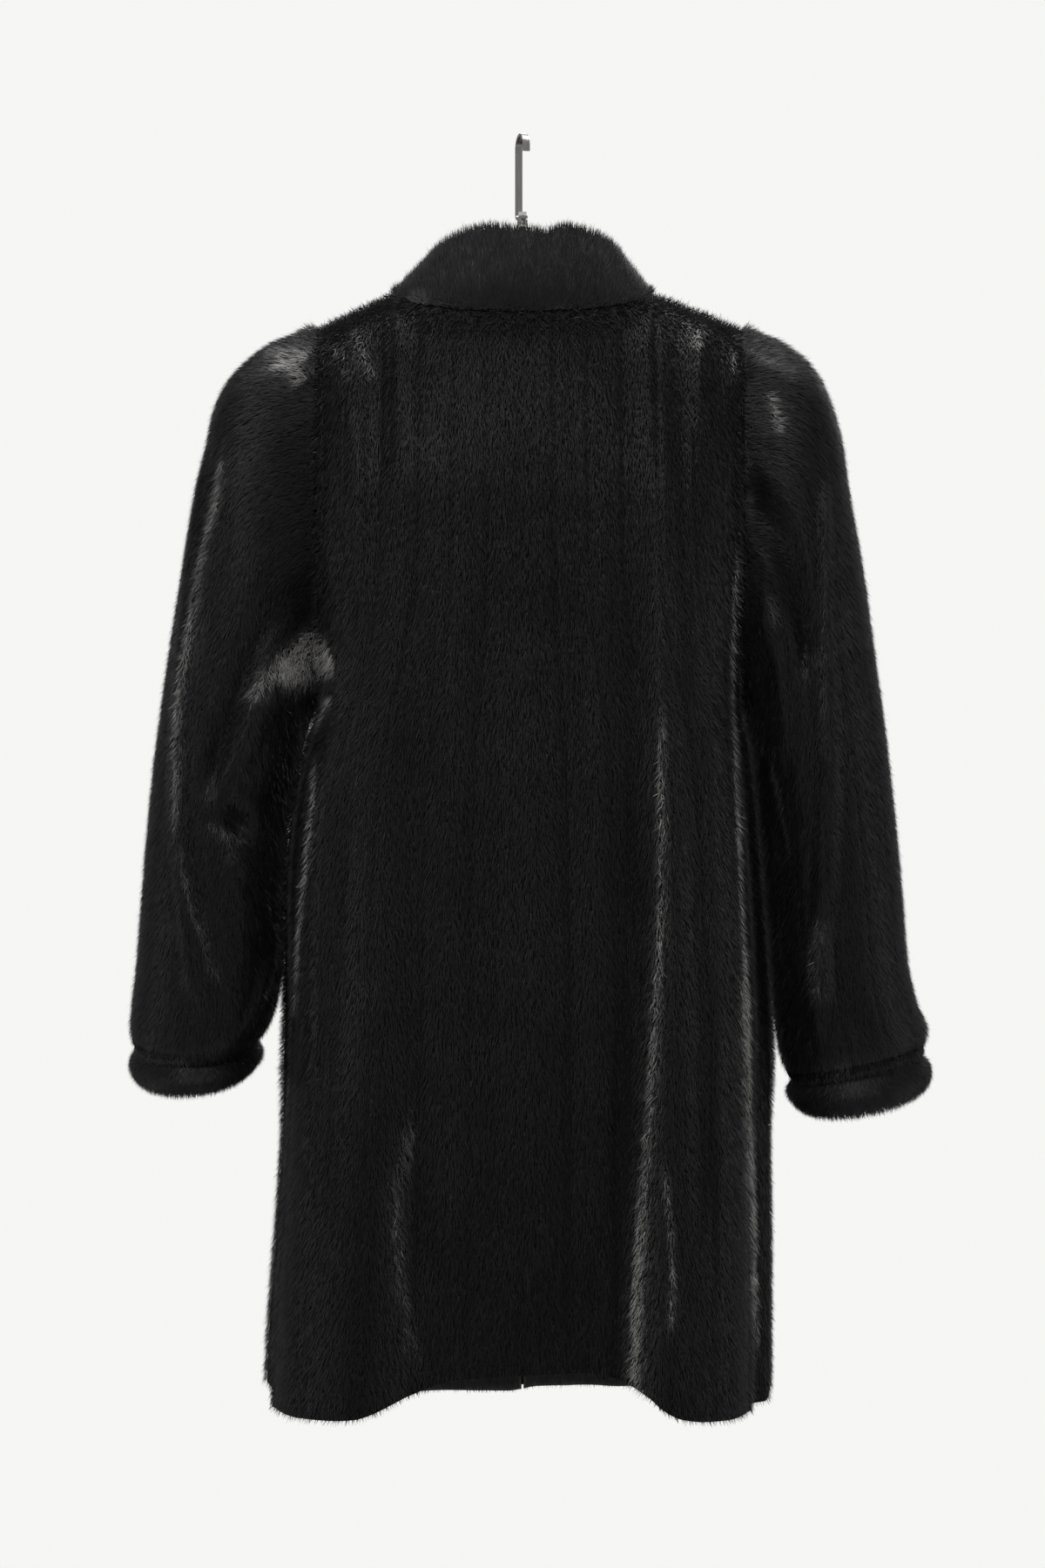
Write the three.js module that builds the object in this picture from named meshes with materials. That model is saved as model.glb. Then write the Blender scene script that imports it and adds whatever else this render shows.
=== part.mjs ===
// A fur coat on a hanger, shut at the front and hanging as it does from a rail: stand collar, puffed
// sleeves gathered into narrow cuffs, and a flared body with deep hanging folds.
// Millimetres. +X is the wearer's right, +Y the wearer's front and +Z is up. The origin is inside the
// crown of the hook, where the hook rests on a rail.

import * as THREE from "three";

// Driving sizes
const WALL = 9; // hide, lining and the fur that lies on them
const COLLAR_WALL = 14; // fur on both sides
const SEAM_GAP = 0.3;
const EDGE_ROLL = 6; // how far in the fur rolls round a free edge
const EDGE_STEPS = [0, 1.8, EDGE_ROLL]; // where rows lie beside a free edge
const SQUARENESS = { columns: 2.4, sleeve: 2.15, neck: 2.4 }; // 2 is an ellipse, more is boxier

const ARMHOLE = { leftX: -163, rightX: 174, topZ: -155, pitZ: -456.5, halfDepth: 66 };
const ARMHOLE_Z = (ARMHOLE.topZ + ARMHOLE.pitZ) / 2;
const ARMHOLE_HALF = (ARMHOLE.topZ - ARMHOLE.pitZ) / 2;

// The neck edge and the collar's top edge. Each depth and height is at the middle of its side.
const NECK = { halfWidth: 103, backY: -75, frontY: 82, sideZ: -127, backDrop: 23, frontDrop: 74 };
const COLLAR = { halfWidth: 76, backY: -63, frontY: 74, backZ: -80, sideZ: -99, frontZ: -150 };
const COLLAR_HEIGHT = 62; // along its wall
const COLLAR_BULGE = 1;
const COLLAR_LEAN = 3.5; // towards the right at the top of the back
const COLLAR_LIFT = 0.7; // clear of the neck edge that carries it
const COLLAR_BASE_RISE = 0.15; // how steeply its lower edge rises inwards
const NECK_BLEND = { reach: 30, start: 0.2 }; // where the shoulder's slope turns into the neck's
const CORNER_SLACK = 0.5; // how near the neck's corner a column counts as on it
const NECK_SLOPE = { inward: 1.9, upward: 0.9 }; // powers that shape the body below the neck edge
const FRONT_EDGE_X = 0.45; // each front stops this far from the middle

// The body's outer face at each height. The widths run to each side of the middle, and the depths are
// those of the middle of the back and of the front.
const BODY = [
  { z: -1052, left: 209, right: 201, back: 110, front: 132, square: 2.5 },
  { z: -1004, left: 209, right: 201, back: 108, front: 130, square: 2.5 },
  { z: -940, left: 206, right: 201, back: 106, front: 127, square: 2.5 },
  { z: -876, left: 201, right: 201, back: 104, front: 123, square: 2.5 },
  { z: -800, left: 196, right: 200, back: 102, front: 118, square: 2.6 },
  { z: -720, left: 192, right: 200, back: 101, front: 113, square: 2.7 },
  { z: -660, left: 192, right: 197, back: 101, front: 109, square: 2.8 },
  { z: -590, left: 191, right: 191.5, back: 101, front: 105, square: 2.9 },
  { z: -530, left: 184, right: 186, back: 101, front: 102, square: 3.1 },
  { z: -490, left: 173.5, right: 181, back: 101, front: 99, square: 3.4 },
  { z: -456.5, left: 163, right: 174, back: 101, front: 97, square: 3.6 },
  { z: -420, left: 163, right: 174, back: 101.5, front: 96, square: 3.3 },
  { z: -360, left: 163, right: 174, back: 102, front: 95, square: 2.9 },
  { z: -300, left: 163, right: 174, back: 101, front: 92, square: 2.8 },
];

// The hem's height, by the share of the way round from the middle to the side seam.
const BACK_HEM = [
  { share: -1, z: -1013 },
  { share: -0.8, z: -1017 },
  { share: -0.45, z: -1016 },
  { share: -0.33, z: -1011 },
  { share: -0.23, z: -999 },
  { share: -0.13, z: -987 },
  { share: 0.14, z: -981 },
  { share: 0.24, z: -992 },
  { share: 0.36, z: -1012 },
  { share: 0.55, z: -1017 },
  { share: 0.8, z: -1016 },
  { share: 1, z: -1013 },
];
const FRONT_HEM = [
  { share: -1, z: -1013 },
  { share: -0.55, z: -1024 },
  { share: -0.02, z: -1031 },
  { share: 0.02, z: -1027 },
  { share: 0.55, z: -1022 },
  { share: 1, z: -1013 },
];

// Hanging folds. A fold is a band between two shares of the way round, with a rise at each side, and
// stands out by a height that grows from its top to the hem. aside is how far it also spreads sideways.
const BACK_FOLDS = [
  { from: -0.76, to: -0.33, riseL: 0.24, riseR: 0.2, topZ: -470, top: 5, hem: 40, drift: 0.05, aside: 0.1 },
  { from: 0.34, to: 0.74, riseL: 0.13, riseR: 0.22, topZ: -330, top: 10, hem: 46, drift: -0.1, aside: 0.1 },
  { from: 0.78, to: 0.9, riseL: 0.07, riseR: 0.08, topZ: -500, top: -3, hem: -11, drift: -0.05, aside: 1 },
  { from: -0.97, to: -0.86, riseL: 0.07, riseR: 0.08, topZ: -520, top: -3, hem: -8, drift: 0.02, aside: 1 },
  { from: -0.5, to: -0.44, riseL: 0.12, riseR: 0.12, topZ: -180, top: -5, hem: 0, drift: 0, aside: 0 },
  { from: 0.44, to: 0.48, riseL: 0.1, riseR: 0.1, topZ: -180, top: -5, hem: 0, drift: 0, aside: 0 },
  { from: -0.06, to: 0.06, riseL: 0.16, riseR: 0.16, topZ: -560, top: 0, hem: 5, drift: 0, aside: 0 },
];
const FRONT_FOLDS = [
  { from: -0.78, to: -0.4, riseL: 0.2, riseR: 0.2, topZ: -420, top: 4, hem: 24, drift: 0.03, aside: 0.15 },
  { from: 0.36, to: 0.76, riseL: 0.2, riseR: 0.2, topZ: -400, top: 5, hem: 27, drift: -0.03, aside: 0.15 },
  { from: -0.3, to: -0.2, riseL: 0.12, riseR: 0.12, topZ: -520, top: -2, hem: -9, drift: 0, aside: 0 },
  { from: 0.18, to: 0.28, riseL: 0.12, riseR: 0.12, topZ: -560, top: -2, hem: -10, drift: 0, aside: 0 },
  { from: -0.97, to: -0.88, riseL: 0.07, riseR: 0.08, topZ: -540, top: -3, hem: -8, drift: 0, aside: 1 },
  { from: 0.86, to: 0.95, riseL: 0.08, riseR: 0.07, topZ: -520, top: -3, hem: -9, drift: 0, aside: 1 },
];
const FOLD_FADE = 150; // how far above its top a fold dies away
const FOLD_AT_SIDE = 0.12; // the least share of a fold's height that points forwards or backwards
const ARMHOLE_FADE = 0.15; // the share of the way round in which a fold dies away beside an armhole
const SHOULDER_FADE = 0.3; // the share of the shoulder's height in which it does so below the seam

// Each sleeve is a fan of rings that turn about the armpit and then run down to the cuff. A ring is
// given by its inner and outer points in the front view, its half depth, how far its middle stands
// forward, and how much lower its back hangs than its front.
const LEFT_SLEEVE = [
  { innerX: -163.5, innerZ: -456.5, outerX: -163.5, outerZ: -155, depth: 66, forward: 0, drop: 0 },
  { innerX: -166.5, innerZ: -460, outerX: -182, outerZ: -160, depth: 69, forward: 0, drop: 0 },
  { innerX: -169.5, innerZ: -465, outerX: -209, outerZ: -172, depth: 73, forward: -1, drop: 0 },
  { innerX: -172.5, innerZ: -471, outerX: -234, outerZ: -194, depth: 76, forward: -2, drop: 0 },
  { innerX: -175, innerZ: -479, outerX: -247.6, outerZ: -220, depth: 77, forward: -3, drop: 0 },
  { innerX: -177.5, innerZ: -489, outerX: -255.2, outerZ: -258, depth: 78, forward: -4, drop: 0 },
  { innerX: -180, innerZ: -500, outerX: -265.9, outerZ: -308, depth: 78, forward: -5, drop: 0 },
  { innerX: -183, innerZ: -514, outerX: -275.5, outerZ: -365, depth: 78, forward: -5, drop: 0 },
  { innerX: -187, innerZ: -533, outerX: -285.5, outerZ: -430, depth: 77, forward: -5, drop: 0 },
  { innerX: -191, innerZ: -557, outerX: -294.5, outerZ: -495, depth: 76, forward: -4, drop: 0 },
  { innerX: -193, innerZ: -589, outerX: -301.5, outerZ: -560, depth: 74, forward: -2, drop: 0 },
  { innerX: -193.8, innerZ: -630, outerX: -306.5, outerZ: -618, depth: 72, forward: 0, drop: 2 },
  { innerX: -194.5, innerZ: -668, outerX: -310.5, outerZ: -665, depth: 70, forward: 2, drop: 4 },
  { innerX: -197, innerZ: -697, outerX: -314.5, outerZ: -699, depth: 68, forward: 4, drop: 8 },
  { innerX: -205, innerZ: -717, outerX: -315.5, outerZ: -718, depth: 65, forward: 5, drop: 11 },
  { innerX: -215, innerZ: -728, outerX: -310.5, outerZ: -731, depth: 57, forward: 6, drop: 12 },
];
const RIGHT_SLEEVE = [
  { innerX: 174.5, innerZ: -456.5, outerX: 174.5, outerZ: -155, depth: 66, forward: 0, drop: 0 },
  { innerX: 177.5, innerZ: -460, outerX: 191, outerZ: -160, depth: 69, forward: 0, drop: 0 },
  { innerX: 179.5, innerZ: -465, outerX: 211, outerZ: -168, depth: 73, forward: 1, drop: 0 },
  { innerX: 181.5, innerZ: -471, outerX: 230, outerZ: -182, depth: 75, forward: 2, drop: 0 },
  { innerX: 183, innerZ: -479, outerX: 244, outerZ: -203, depth: 76, forward: 3, drop: 0 },
  { innerX: 184.5, innerZ: -489, outerX: 256, outerZ: -240, depth: 77, forward: 4, drop: 0 },
  { innerX: 186, innerZ: -500, outerX: 263.4, outerZ: -288, depth: 77, forward: 5, drop: 0 },
  { innerX: 187.5, innerZ: -514, outerX: 273.8, outerZ: -346, depth: 77, forward: 6, drop: 0 },
  { innerX: 189.5, innerZ: -533, outerX: 283.1, outerZ: -412, depth: 76, forward: 7, drop: 0 },
  { innerX: 191.5, innerZ: -557, outerX: 292.5, outerZ: -480, depth: 75, forward: 8, drop: 0 },
  { innerX: 194, innerZ: -590, outerX: 300.5, outerZ: -550, depth: 74, forward: 9, drop: 0 },
  { innerX: 198, innerZ: -635, outerX: 306.5, outerZ: -612, depth: 72, forward: 11, drop: 1 },
  { innerX: 201.5, innerZ: -680, outerX: 310.5, outerZ: -660, depth: 71, forward: 13, drop: 2 },
  { innerX: 204, innerZ: -718, outerX: 318, outerZ: -694, depth: 70, forward: 15, drop: 3 },
  { innerX: 209, innerZ: -744, outerX: 327, outerZ: -717, depth: 67, forward: 16, drop: 4 },
  { innerX: 218, innerZ: -759, outerX: 322, outerZ: -735, depth: 58, forward: 17, drop: 4 },
];

// Creases and ridges that run along a sleeve. Angles are round a ring in degrees, 0 at its outer point
// and 90 at its back, at the first, middle and last of the rings that the crease crosses.
const LEFT_CREASES = [
  { first: 4.5, last: 13, start: 14, middle: 52, end: 96, half: 17, height: 6 },
  { first: -0.6, last: 9.4, start: 116, middle: 112, end: 84, half: 14, height: -8 },
  { first: 0.2, last: 8.8, start: 148, middle: 132, end: 100, half: 16, height: 6 },
  { first: 8.6, last: 9.7, start: 112, middle: 112, end: 112, half: 24, height: -10 },
  { first: 9.4, last: 10.8, start: 118, middle: 114, end: 108, half: 24, height: 6 },
  { first: 11, last: 13.9, start: 158, middle: 142, end: 124, half: 14, height: 4 },
  { first: 4, last: 12, start: 300, middle: 280, end: 262, half: 18, height: 5 },
  { first: 3, last: 9, start: 238, middle: 236, end: 252, half: 16, height: -6 },
];
const RIGHT_CREASES = [
  { first: 4.2, last: 13.4, start: 56, middle: 92, end: 120, half: 16, height: 6 },
  { first: 0, last: 7, start: 84, middle: 98, end: 93, half: 14, height: -8 },
  { first: 1, last: 8, start: 118, middle: 122, end: 128, half: 16, height: 4 },
  { first: 6.5, last: 10.5, start: 152, middle: 148, end: 136, half: 15, height: -6 },
  { first: 11, last: 13.6, start: 96, middle: 92, end: 84, half: 18, height: -4 },
  { first: 4, last: 12, start: 304, middle: 284, end: 264, half: 18, height: 5 },
  { first: 3, last: 9, start: 240, middle: 238, end: 254, half: 16, height: -6 },
];
const CREASE_TAPER = 1; // in rings
const SLEEVE_RADIUS = 68; // turns an angle into a distance round a sleeve
// At the head of each sleeve: how many, over how many degrees and rings, how high, and the rings in
// which they rise
const GATHERS = { count: 3, spread: 62, rings: 4.5, height: 4, rise: 0.6 };

// A cuff's rings, as a sleeve's
const CUFF_LENGTH = 30;
const LEFT_CUFF = [
  { innerX: -213, innerZ: -728.5, outerX: -311, outerZ: -732, depth: 57, forward: 6, drop: 12 },
  { innerX: -210, innerZ: -736, outerX: -315, outerZ: -740, depth: 61, forward: 6, drop: 14 },
  { innerX: -214, innerZ: -744, outerX: -314, outerZ: -748, depth: 60, forward: 6, drop: 15 },
  { innerX: -222, innerZ: -751, outerX: -307, outerZ: -755, depth: 55, forward: 6, drop: 16 },
];
const RIGHT_CUFF = [
  { innerX: 216, innerZ: -759.5, outerX: 322, outerZ: -736.5, depth: 58, forward: 17, drop: 4 },
  { innerX: 214, innerZ: -768, outerX: 328, outerZ: -745, depth: 62, forward: 17, drop: 8 },
  { innerX: 218, innerZ: -776, outerX: 329, outerZ: -754, depth: 61, forward: 17, drop: 11 },
  { innerX: 227, innerZ: -782.5, outerX: 324, outerZ: -762, depth: 55, forward: 17, drop: 13 },
];

// The hanger: a wooden bow, a flat steel hook that swivels, and what joins them.
const HOOK = { width: 5.5, thick: 2.4, inner: 9.2, tipZ: -13, footZ: -64, footEnd: -5, bend: 3, turn: 17 };
const HOOK_STEPS = 14; // along each of its curves
const FERRULE = { radius: 4.5, length: 7, sides: 24 };
const NUT = { radius: 3.8, height: 3, sides: 6 };
const BOW = [
  { x: 0, z: -86, halfHigh: 12, halfDeep: 7 },
  { x: 16, z: -92, halfHigh: 11.5, halfDeep: 7 },
  { x: 42, z: -117, halfHigh: 10.5, halfDeep: 7 },
  { x: 72, z: -140, halfHigh: 9, halfDeep: 7 },
  { x: 103, z: -148.6, halfHigh: 9, halfDeep: 8 },
  { x: 125, z: -157.9, halfHigh: 9, halfDeep: 11 },
  { x: 148, z: -168, halfHigh: 9, halfDeep: 14 },
  { x: 160, z: -173, halfHigh: 8, halfDeep: 14 },
  { x: 163, z: -175, halfHigh: 3, halfDeep: 8 },
];
const BOW_STEPS = 28;
const BOW_SIDES = 12;

// How finely each panel is cut up
const BODY_ROWS = { skirt: 13, armhole: 4, shoulder: 7 };
const BACK_COLUMNS = 29;
const FRONT_COLUMNS = 14;
const SLEEVE_ROWS = 23;
const SLEEVE_COLUMNS = 34;
const CUFF_ROWS = 4;
const COLLAR_ROWS = 4;

// Places from 0 to 1 where the columns or rows are closer together, how far round they reach, and how
// much closer
const BACK_CROWDING = [
  { place: 0.65, reach: 0.06, pull: 1.6 },
  { place: 0.35, reach: 0.07, pull: 0.6 },
  { place: 0.9, reach: 0.06, pull: 0.8 },
  { place: 0.1, reach: 0.06, pull: 0.5 },
];
const FRONT_CROWDING = [{ place: 0.9, reach: 0.12, pull: 0.5 }];
const SLEEVE_CROWDING = [
  { place: 0, reach: 0.14, pull: 0.8 },
  { place: 1, reach: 0.14, pull: 0.8 },
  { place: 0.3, reach: 0.1, pull: 0.5 },
];
const SLEEVE_END_CROWDING = [{ place: 1, reach: 0.06, pull: 1 }];

const clamp = (v) => Math.min(1, Math.max(0, v));
const mix = (a, b, share) => a + (b - a) * share;
const radians = THREE.MathUtils.degToRad;

function ease(v) {
  const c = clamp(v);
  return c * c * (3 - 2 * c);
}

// A sine or cosine, bent so that a ring of them is as square as asked.
function squared(v, squareness) {
  return Math.sign(v) * Math.abs(v) ** (2 / squareness);
}

// A smooth curve from b to c with a slope at each end, at a share of the way.
function curve(b, c, slopeB, slopeC, f) {
  const rise = c - b;
  return b + f * (slopeB + f * (3 * rise - 2 * slopeB - slopeC + f * (slopeB + slopeC - 2 * rise)));
}

// All the columns of a table at a place between two of its rows, on a smooth curve.
function rowAt(table, place) {
  const low = Math.min(Math.max(Math.floor(place), 0), table.length - 2);
  const f = place - low;
  const pick = (i) => table[Math.min(Math.max(i, 0), table.length - 1)];
  const [a, b, c, d] = [pick(low - 1), pick(low), pick(low + 1), pick(low + 2)];
  const out = {};
  for (const key of Object.keys(b)) {
    out[key] = curve(b[key], c[key], (c[key] - a[key]) / 2, (d[key] - b[key]) / 2, f);
  }
  return out;
}

// The same for a table that rises in one column, where that column says which place is meant.
function rowWhere(table, column, value) {
  let low = 0;
  while (low < table.length - 2 && value > table[low + 1][column]) low += 1;
  const pick = (i) => table[Math.min(Math.max(i, 0), table.length - 1)];
  const [a, b, c, d] = [pick(low - 1), pick(low), pick(low + 1), pick(low + 2)];
  const span = c[column] - b[column];
  const f = clamp((value - b[column]) / span);
  const out = {};
  for (const key of Object.keys(b)) {
    const slopeB = ((c[key] - a[key]) / (c[column] - a[column])) * span;
    const slopeC = ((d[key] - b[key]) / (d[column] - b[column])) * span;
    out[key] = curve(b[key], c[key], slopeB, slopeC, f);
  }
  return out;
}

// How far a body's folds stand out at a share of the way round and a height.
function foldsAt(folds, share, z, hemZ) {
  let outward = 0;
  let sideways = 0;
  for (const fold of folds) {
    const down = clamp((fold.topZ - z) / (fold.topZ - hemZ));
    const moved = share - fold.drift * down;
    const band = ease((moved - fold.from) / fold.riseL + 0.5) * ease((fold.to - moved) / fold.riseR + 0.5);
    const grown = mix(fold.top, fold.hem, ease(down)) * ease(1 - (z - fold.topZ) / FOLD_FADE);
    outward += band * grown;
    sideways += band * grown * fold.aside;
  }
  return { outward, sideways };
}

// Half the depth of the armhole's edge at a height.
function armholeDepth(z) {
  const up = Math.abs(z - ARMHOLE_Z) / ARMHOLE_HALF;
  return ARMHOLE.halfDepth * Math.max(0, 1 - up ** SQUARENESS.sleeve) ** (1 / SQUARENESS.sleeve);
}

// How far across and how deep a ring of the body is, as shares of its half width and half depth, at a
// share of the way round. edge is the share of the depth that is left where the ring meets an armhole.
function ringShape(share, edge, squareness) {
  const across = (1 - edge ** squareness) ** (1 / squareness);
  const most = Math.asin(across ** (SQUARENESS.columns / 2));
  const at = squared(Math.sin(Math.abs(share) * most), SQUARENESS.columns);
  return { across: Math.min(1, at / across), deep: Math.max(0, 1 - at ** squareness) ** (1 / squareness) };
}

// A ring of the body at a height, without its folds, at a share of the way round. side is -1 for the
// back and 1 for the front. turned is the angle from the middle to the side seam.
function ringAt(side, share, z) {
  const level = rowWhere(BODY, "z", z);
  const width = share < 0 ? level.left : level.right;
  const depth = side < 0 ? level.back : level.front;
  const edge = z > ARMHOLE.pitZ ? Math.min(armholeDepth(z) / depth, 1) : 0;
  const { across, deep } = ringShape(share, edge, level.square);
  const turned = Math.asin(across ** (SQUARENESS.columns / 2));
  return { x: width * across, y: depth * deep, edge, turned };
}

// How far the folds move a point of such a ring, sideways and outwards.
function foldedAt(side, share, ring, z, hemZ) {
  const place = (Math.sign(share) * ring.turned * 2) / Math.PI;
  const fold = foldsAt(side < 0 ? BACK_FOLDS : FRONT_FOLDS, place, z, hemZ);
  const beside = ease((1 - Math.abs(share)) / ARMHOLE_FADE);
  const keep = z > ARMHOLE.pitZ ? mix(1, beside, ease(ring.edge * 2)) : 1;
  const forward = Math.max(Math.cos(ring.turned), FOLD_AT_SIDE);
  return { aside: fold.sideways * keep * Math.sin(ring.turned), out: fold.outward * keep * forward };
}

// A point of the body below the middle of the armholes.
function ringPoint(side, share, z, hemZ) {
  const ring = ringAt(side, share, z);
  const { aside, out } = foldedAt(side, share, ring, z, hemZ);
  return new THREE.Vector3(Math.sign(share) * (ring.x + aside), side * (ring.y + out), z);
}

// The neck edge where it crosses x, for the back or the front.
function neckPoint(side, x) {
  const across = Math.min(Math.abs(x) / NECK.halfWidth, 1);
  const depth = (1 - across ** SQUARENESS.neck) ** (1 / SQUARENESS.neck);
  const y = depth * (side < 0 ? NECK.backY : NECK.frontY);
  const z = NECK.sideZ - (side < 0 ? NECK.backDrop : NECK.frontDrop) * depth ** 1.4;
  return new THREE.Vector3(x, y, z);
}

// A point of the shoulder seam or neck edge, above a point of the body at the middle of the armholes.
function topPoint(side, x) {
  if (Math.abs(x) < NECK.halfWidth - 0.1) return neckPoint(side, x);
  const tip = x < 0 ? -ARMHOLE.leftX : ARMHOLE.rightX;
  const down = Math.max(0, Math.abs(x) - NECK.halfWidth) / (tip - NECK.halfWidth);
  return new THREE.Vector3(x, 0, mix(NECK.sideZ, ARMHOLE.topZ, down));
}

// A point of the shoulder: up is 0 at the middle of the armholes and 1 at the seam.
function shoulderPoint(side, share, up, hemZ) {
  const ring = ringAt(side, share, ARMHOLE_Z);
  const high = topPoint(side, Math.sign(share) * ring.x);
  const turn = (up * Math.PI) / 2;
  const rise = squared(Math.sin(turn), SQUARENESS.sleeve);
  const roll = 1 - squared(Math.cos(turn), SQUARENESS.sleeve);
  const overNeck = ease((NECK.halfWidth - ring.x) / NECK_BLEND.reach + NECK_BLEND.start);
  const inward = mix(roll, up ** NECK_SLOPE.inward, overNeck);
  const z = mix(ARMHOLE_Z, high.z, mix(rise, up ** NECK_SLOPE.upward, overNeck));
  const { aside, out } = foldedAt(side, share, ring, z, hemZ);
  const keep = ease((1 - up) / SHOULDER_FADE);
  const x = high.x + Math.sign(share) * aside * keep;
  return new THREE.Vector3(x, mix(side * ring.y, high.y, inward) + side * out * keep, z);
}

// A body point by its row: 0 to 1 is the skirt, 1 to 2 the lower armhole and 2 to 3 the shoulder.
function bodyPoint(side, share, row) {
  const hemZ = rowWhere(side < 0 ? BACK_HEM : FRONT_HEM, "share", share).z;
  let point;
  if (row <= 1) point = ringPoint(side, share, mix(hemZ, ARMHOLE.pitZ, row), hemZ);
  else if (row < 2) {
    const climb = 1 - squared(Math.cos(((row - 1) * Math.PI) / 2), SQUARENESS.sleeve);
    point = ringPoint(side, share, mix(ARMHOLE.pitZ, ARMHOLE_Z, climb), hemZ);
  } else point = shoulderPoint(side, share, row - 2, hemZ);
  point.y += (side * SEAM_GAP) / 2;
  return point;
}

// The height that a lengthwise crease gives a sleeve at an angle in degrees and a ring.
function creaseAt(crease, angle, ring) {
  const along = (ring - crease.first) / (crease.last - crease.first);
  if (along < 0 || along > 1) return 0;
  const here = mix(mix(crease.start, crease.middle, along), mix(crease.middle, crease.end, along), along);
  const turn = THREE.MathUtils.euclideanModulo(angle - here + 180, 360) - 180;
  const off = (radians(turn) * SLEEVE_RADIUS) / crease.half;
  if (Math.abs(off) >= 1) return 0;
  const taper = Math.min(CREASE_TAPER, (crease.last - crease.first) / 2);
  const ends = ease((ring - crease.first) / taper) * ease((crease.last - ring) / taper);
  return crease.height * (1 - off * off) ** 2 * ends;
}

// The soft gathers at a sleeve's head, round its outer point.
function gathersAt(angle, ring) {
  const off = (THREE.MathUtils.euclideanModulo(angle + 180, 360) - 180) / GATHERS.spread;
  if (Math.abs(off) >= 1 || ring >= GATHERS.rings) return 0;
  const fade = ease(ring / GATHERS.rise) * ease(1 - ring / GATHERS.rings) * (1 - off * off);
  return GATHERS.height * fade * Math.cos(off * Math.PI * GATHERS.count);
}

// A point of a sleeve or cuff at an angle in degrees and a place in its table of rings.
function sleevePoint(rings, angle, ring, height) {
  const r = rowAt(rings, ring);
  const c = squared(Math.cos(radians(angle)), SQUARENESS.sleeve);
  const s = squared(Math.sin(radians(angle)), SQUARENESS.sleeve);
  const acrossX = (r.outerX - r.innerX) / 2;
  const acrossZ = (r.outerZ - r.innerZ) / 2;
  const half = Math.hypot(acrossX, acrossZ);
  const grow = 1 + height / half;
  const deep = r.depth + height;
  return new THREE.Vector3(
    (r.outerX + r.innerX) / 2 + acrossX * c * grow,
    r.forward - deep * s,
    (r.outerZ + r.innerZ) / 2 + acrossZ * c * grow - r.drop * s,
  );
}

// Even steps from 0 to 1, drawn together round each detail, which gives its place, reach and pull.
function steps(count, details = []) {
  const fine = 400;
  const sum = [0];
  for (let i = 0; i < fine; i += 1) {
    const at = (i + 0.5) / fine;
    let density = 1;
    for (const d of details) density += d.pull * Math.exp(-(((at - d.place) / d.reach) ** 2));
    sum.push(sum[i] + density);
  }
  const out = [];
  for (let k = 0; k < count; k += 1) {
    const want = (sum[fine] * k) / (count - 1);
    let i = 0;
    while (i < fine - 1 && sum[i + 1] < want) i += 1;
    out.push((i + (want - sum[i]) / (sum[i + 1] - sum[i])) / fine);
  }
  return out;
}

// How far the fur is drawn in at a distance from a free edge.
function rolledIn(distance) {
  const off = 1 - Math.min(distance / EDGE_ROLL, 1);
  return EDGE_ROLL * (1 - Math.sqrt(1 - off * off));
}

// A closed wall from a grid of outer points, with its inner face a thickness behind. The faces point
// along the columns' direction crossed with the rows', times facing. rolls gives each point's distance
// from a free edge. seams names the axes that a seam's plane crosses, which the wall there keeps clear of.
// baseRise, if given, is how steeply the wall's first edge rises inwards.
function wallOf(grid, thick, options = {}) {
  const { facing = 1, around = false, rolls = () => Infinity, seams = () => "", baseRise = null } = options;
  const rows = grid.length;
  const columns = grid[0].length;
  const at = (i, j) => grid[i][around ? (j + columns) % columns : Math.min(Math.max(j, 0), columns - 1)];
  const outer = [];
  const inner = [];
  for (let i = 0; i < rows; i += 1) {
    for (let j = 0; j < columns; j += 1) {
      const across = at(i, j + 1).clone().sub(at(i, j - 1));
      const along = grid[Math.min(i + 1, rows - 1)][j].clone().sub(grid[Math.max(i - 1, 0)][j]);
      if (baseRise !== null && i === 0) along.set(0, 0, 1);
      const normal = across.cross(along).multiplyScalar(facing);
      for (const axis of seams(i, j)) normal[axis] = 0;
      normal.normalize();
      if (baseRise !== null && i === 0) normal.z = -baseRise;
      outer.push(grid[i][j].clone().addScaledVector(normal, -rolledIn(rolls(i, j))));
      inner.push(grid[i][j].clone().addScaledVector(normal, -thick));
    }
  }
  const faces = [];
  const count = outer.length;
  const quad = (a, b, c, d) => faces.push(...(facing > 0 ? [a, b, c, a, c, d] : [a, c, b, a, d, c]));
  const spans = around ? columns : columns - 1;
  const index = (i, j) => i * columns + (j % columns);
  for (let i = 0; i < rows - 1; i += 1) {
    for (let j = 0; j < spans; j += 1) {
      const [a, b, c, d] = [index(i, j), index(i, j + 1), index(i + 1, j + 1), index(i + 1, j)];
      quad(a, b, c, d);
      quad(count + d, count + c, count + b, count + a);
    }
  }
  for (let j = 0; j < spans; j += 1) {
    quad(count + index(0, j), count + index(0, j + 1), index(0, j + 1), index(0, j));
    const [a, b] = [index(rows - 1, j), index(rows - 1, j + 1)];
    quad(a, b, count + b, count + a);
  }
  if (!around) {
    for (let i = 0; i < rows - 1; i += 1) {
      const [a, b] = [index(i, 0), index(i + 1, 0)];
      quad(count + a, a, b, count + b);
      const [c, d] = [index(i, columns - 1), index(i + 1, columns - 1)];
      quad(c, count + c, count + d, d);
    }
  }
  return geometryOf([...outer, ...inner], faces);
}

function geometryOf(points, faces) {
  const geometry = new THREE.BufferGeometry();
  const places = points.flatMap((p) => p.toArray());
  geometry.setAttribute("position", new THREE.Float32BufferAttribute(places, 3));
  geometry.setIndex(faces);
  geometry.computeVertexNormals();
  return geometry;
}

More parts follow.
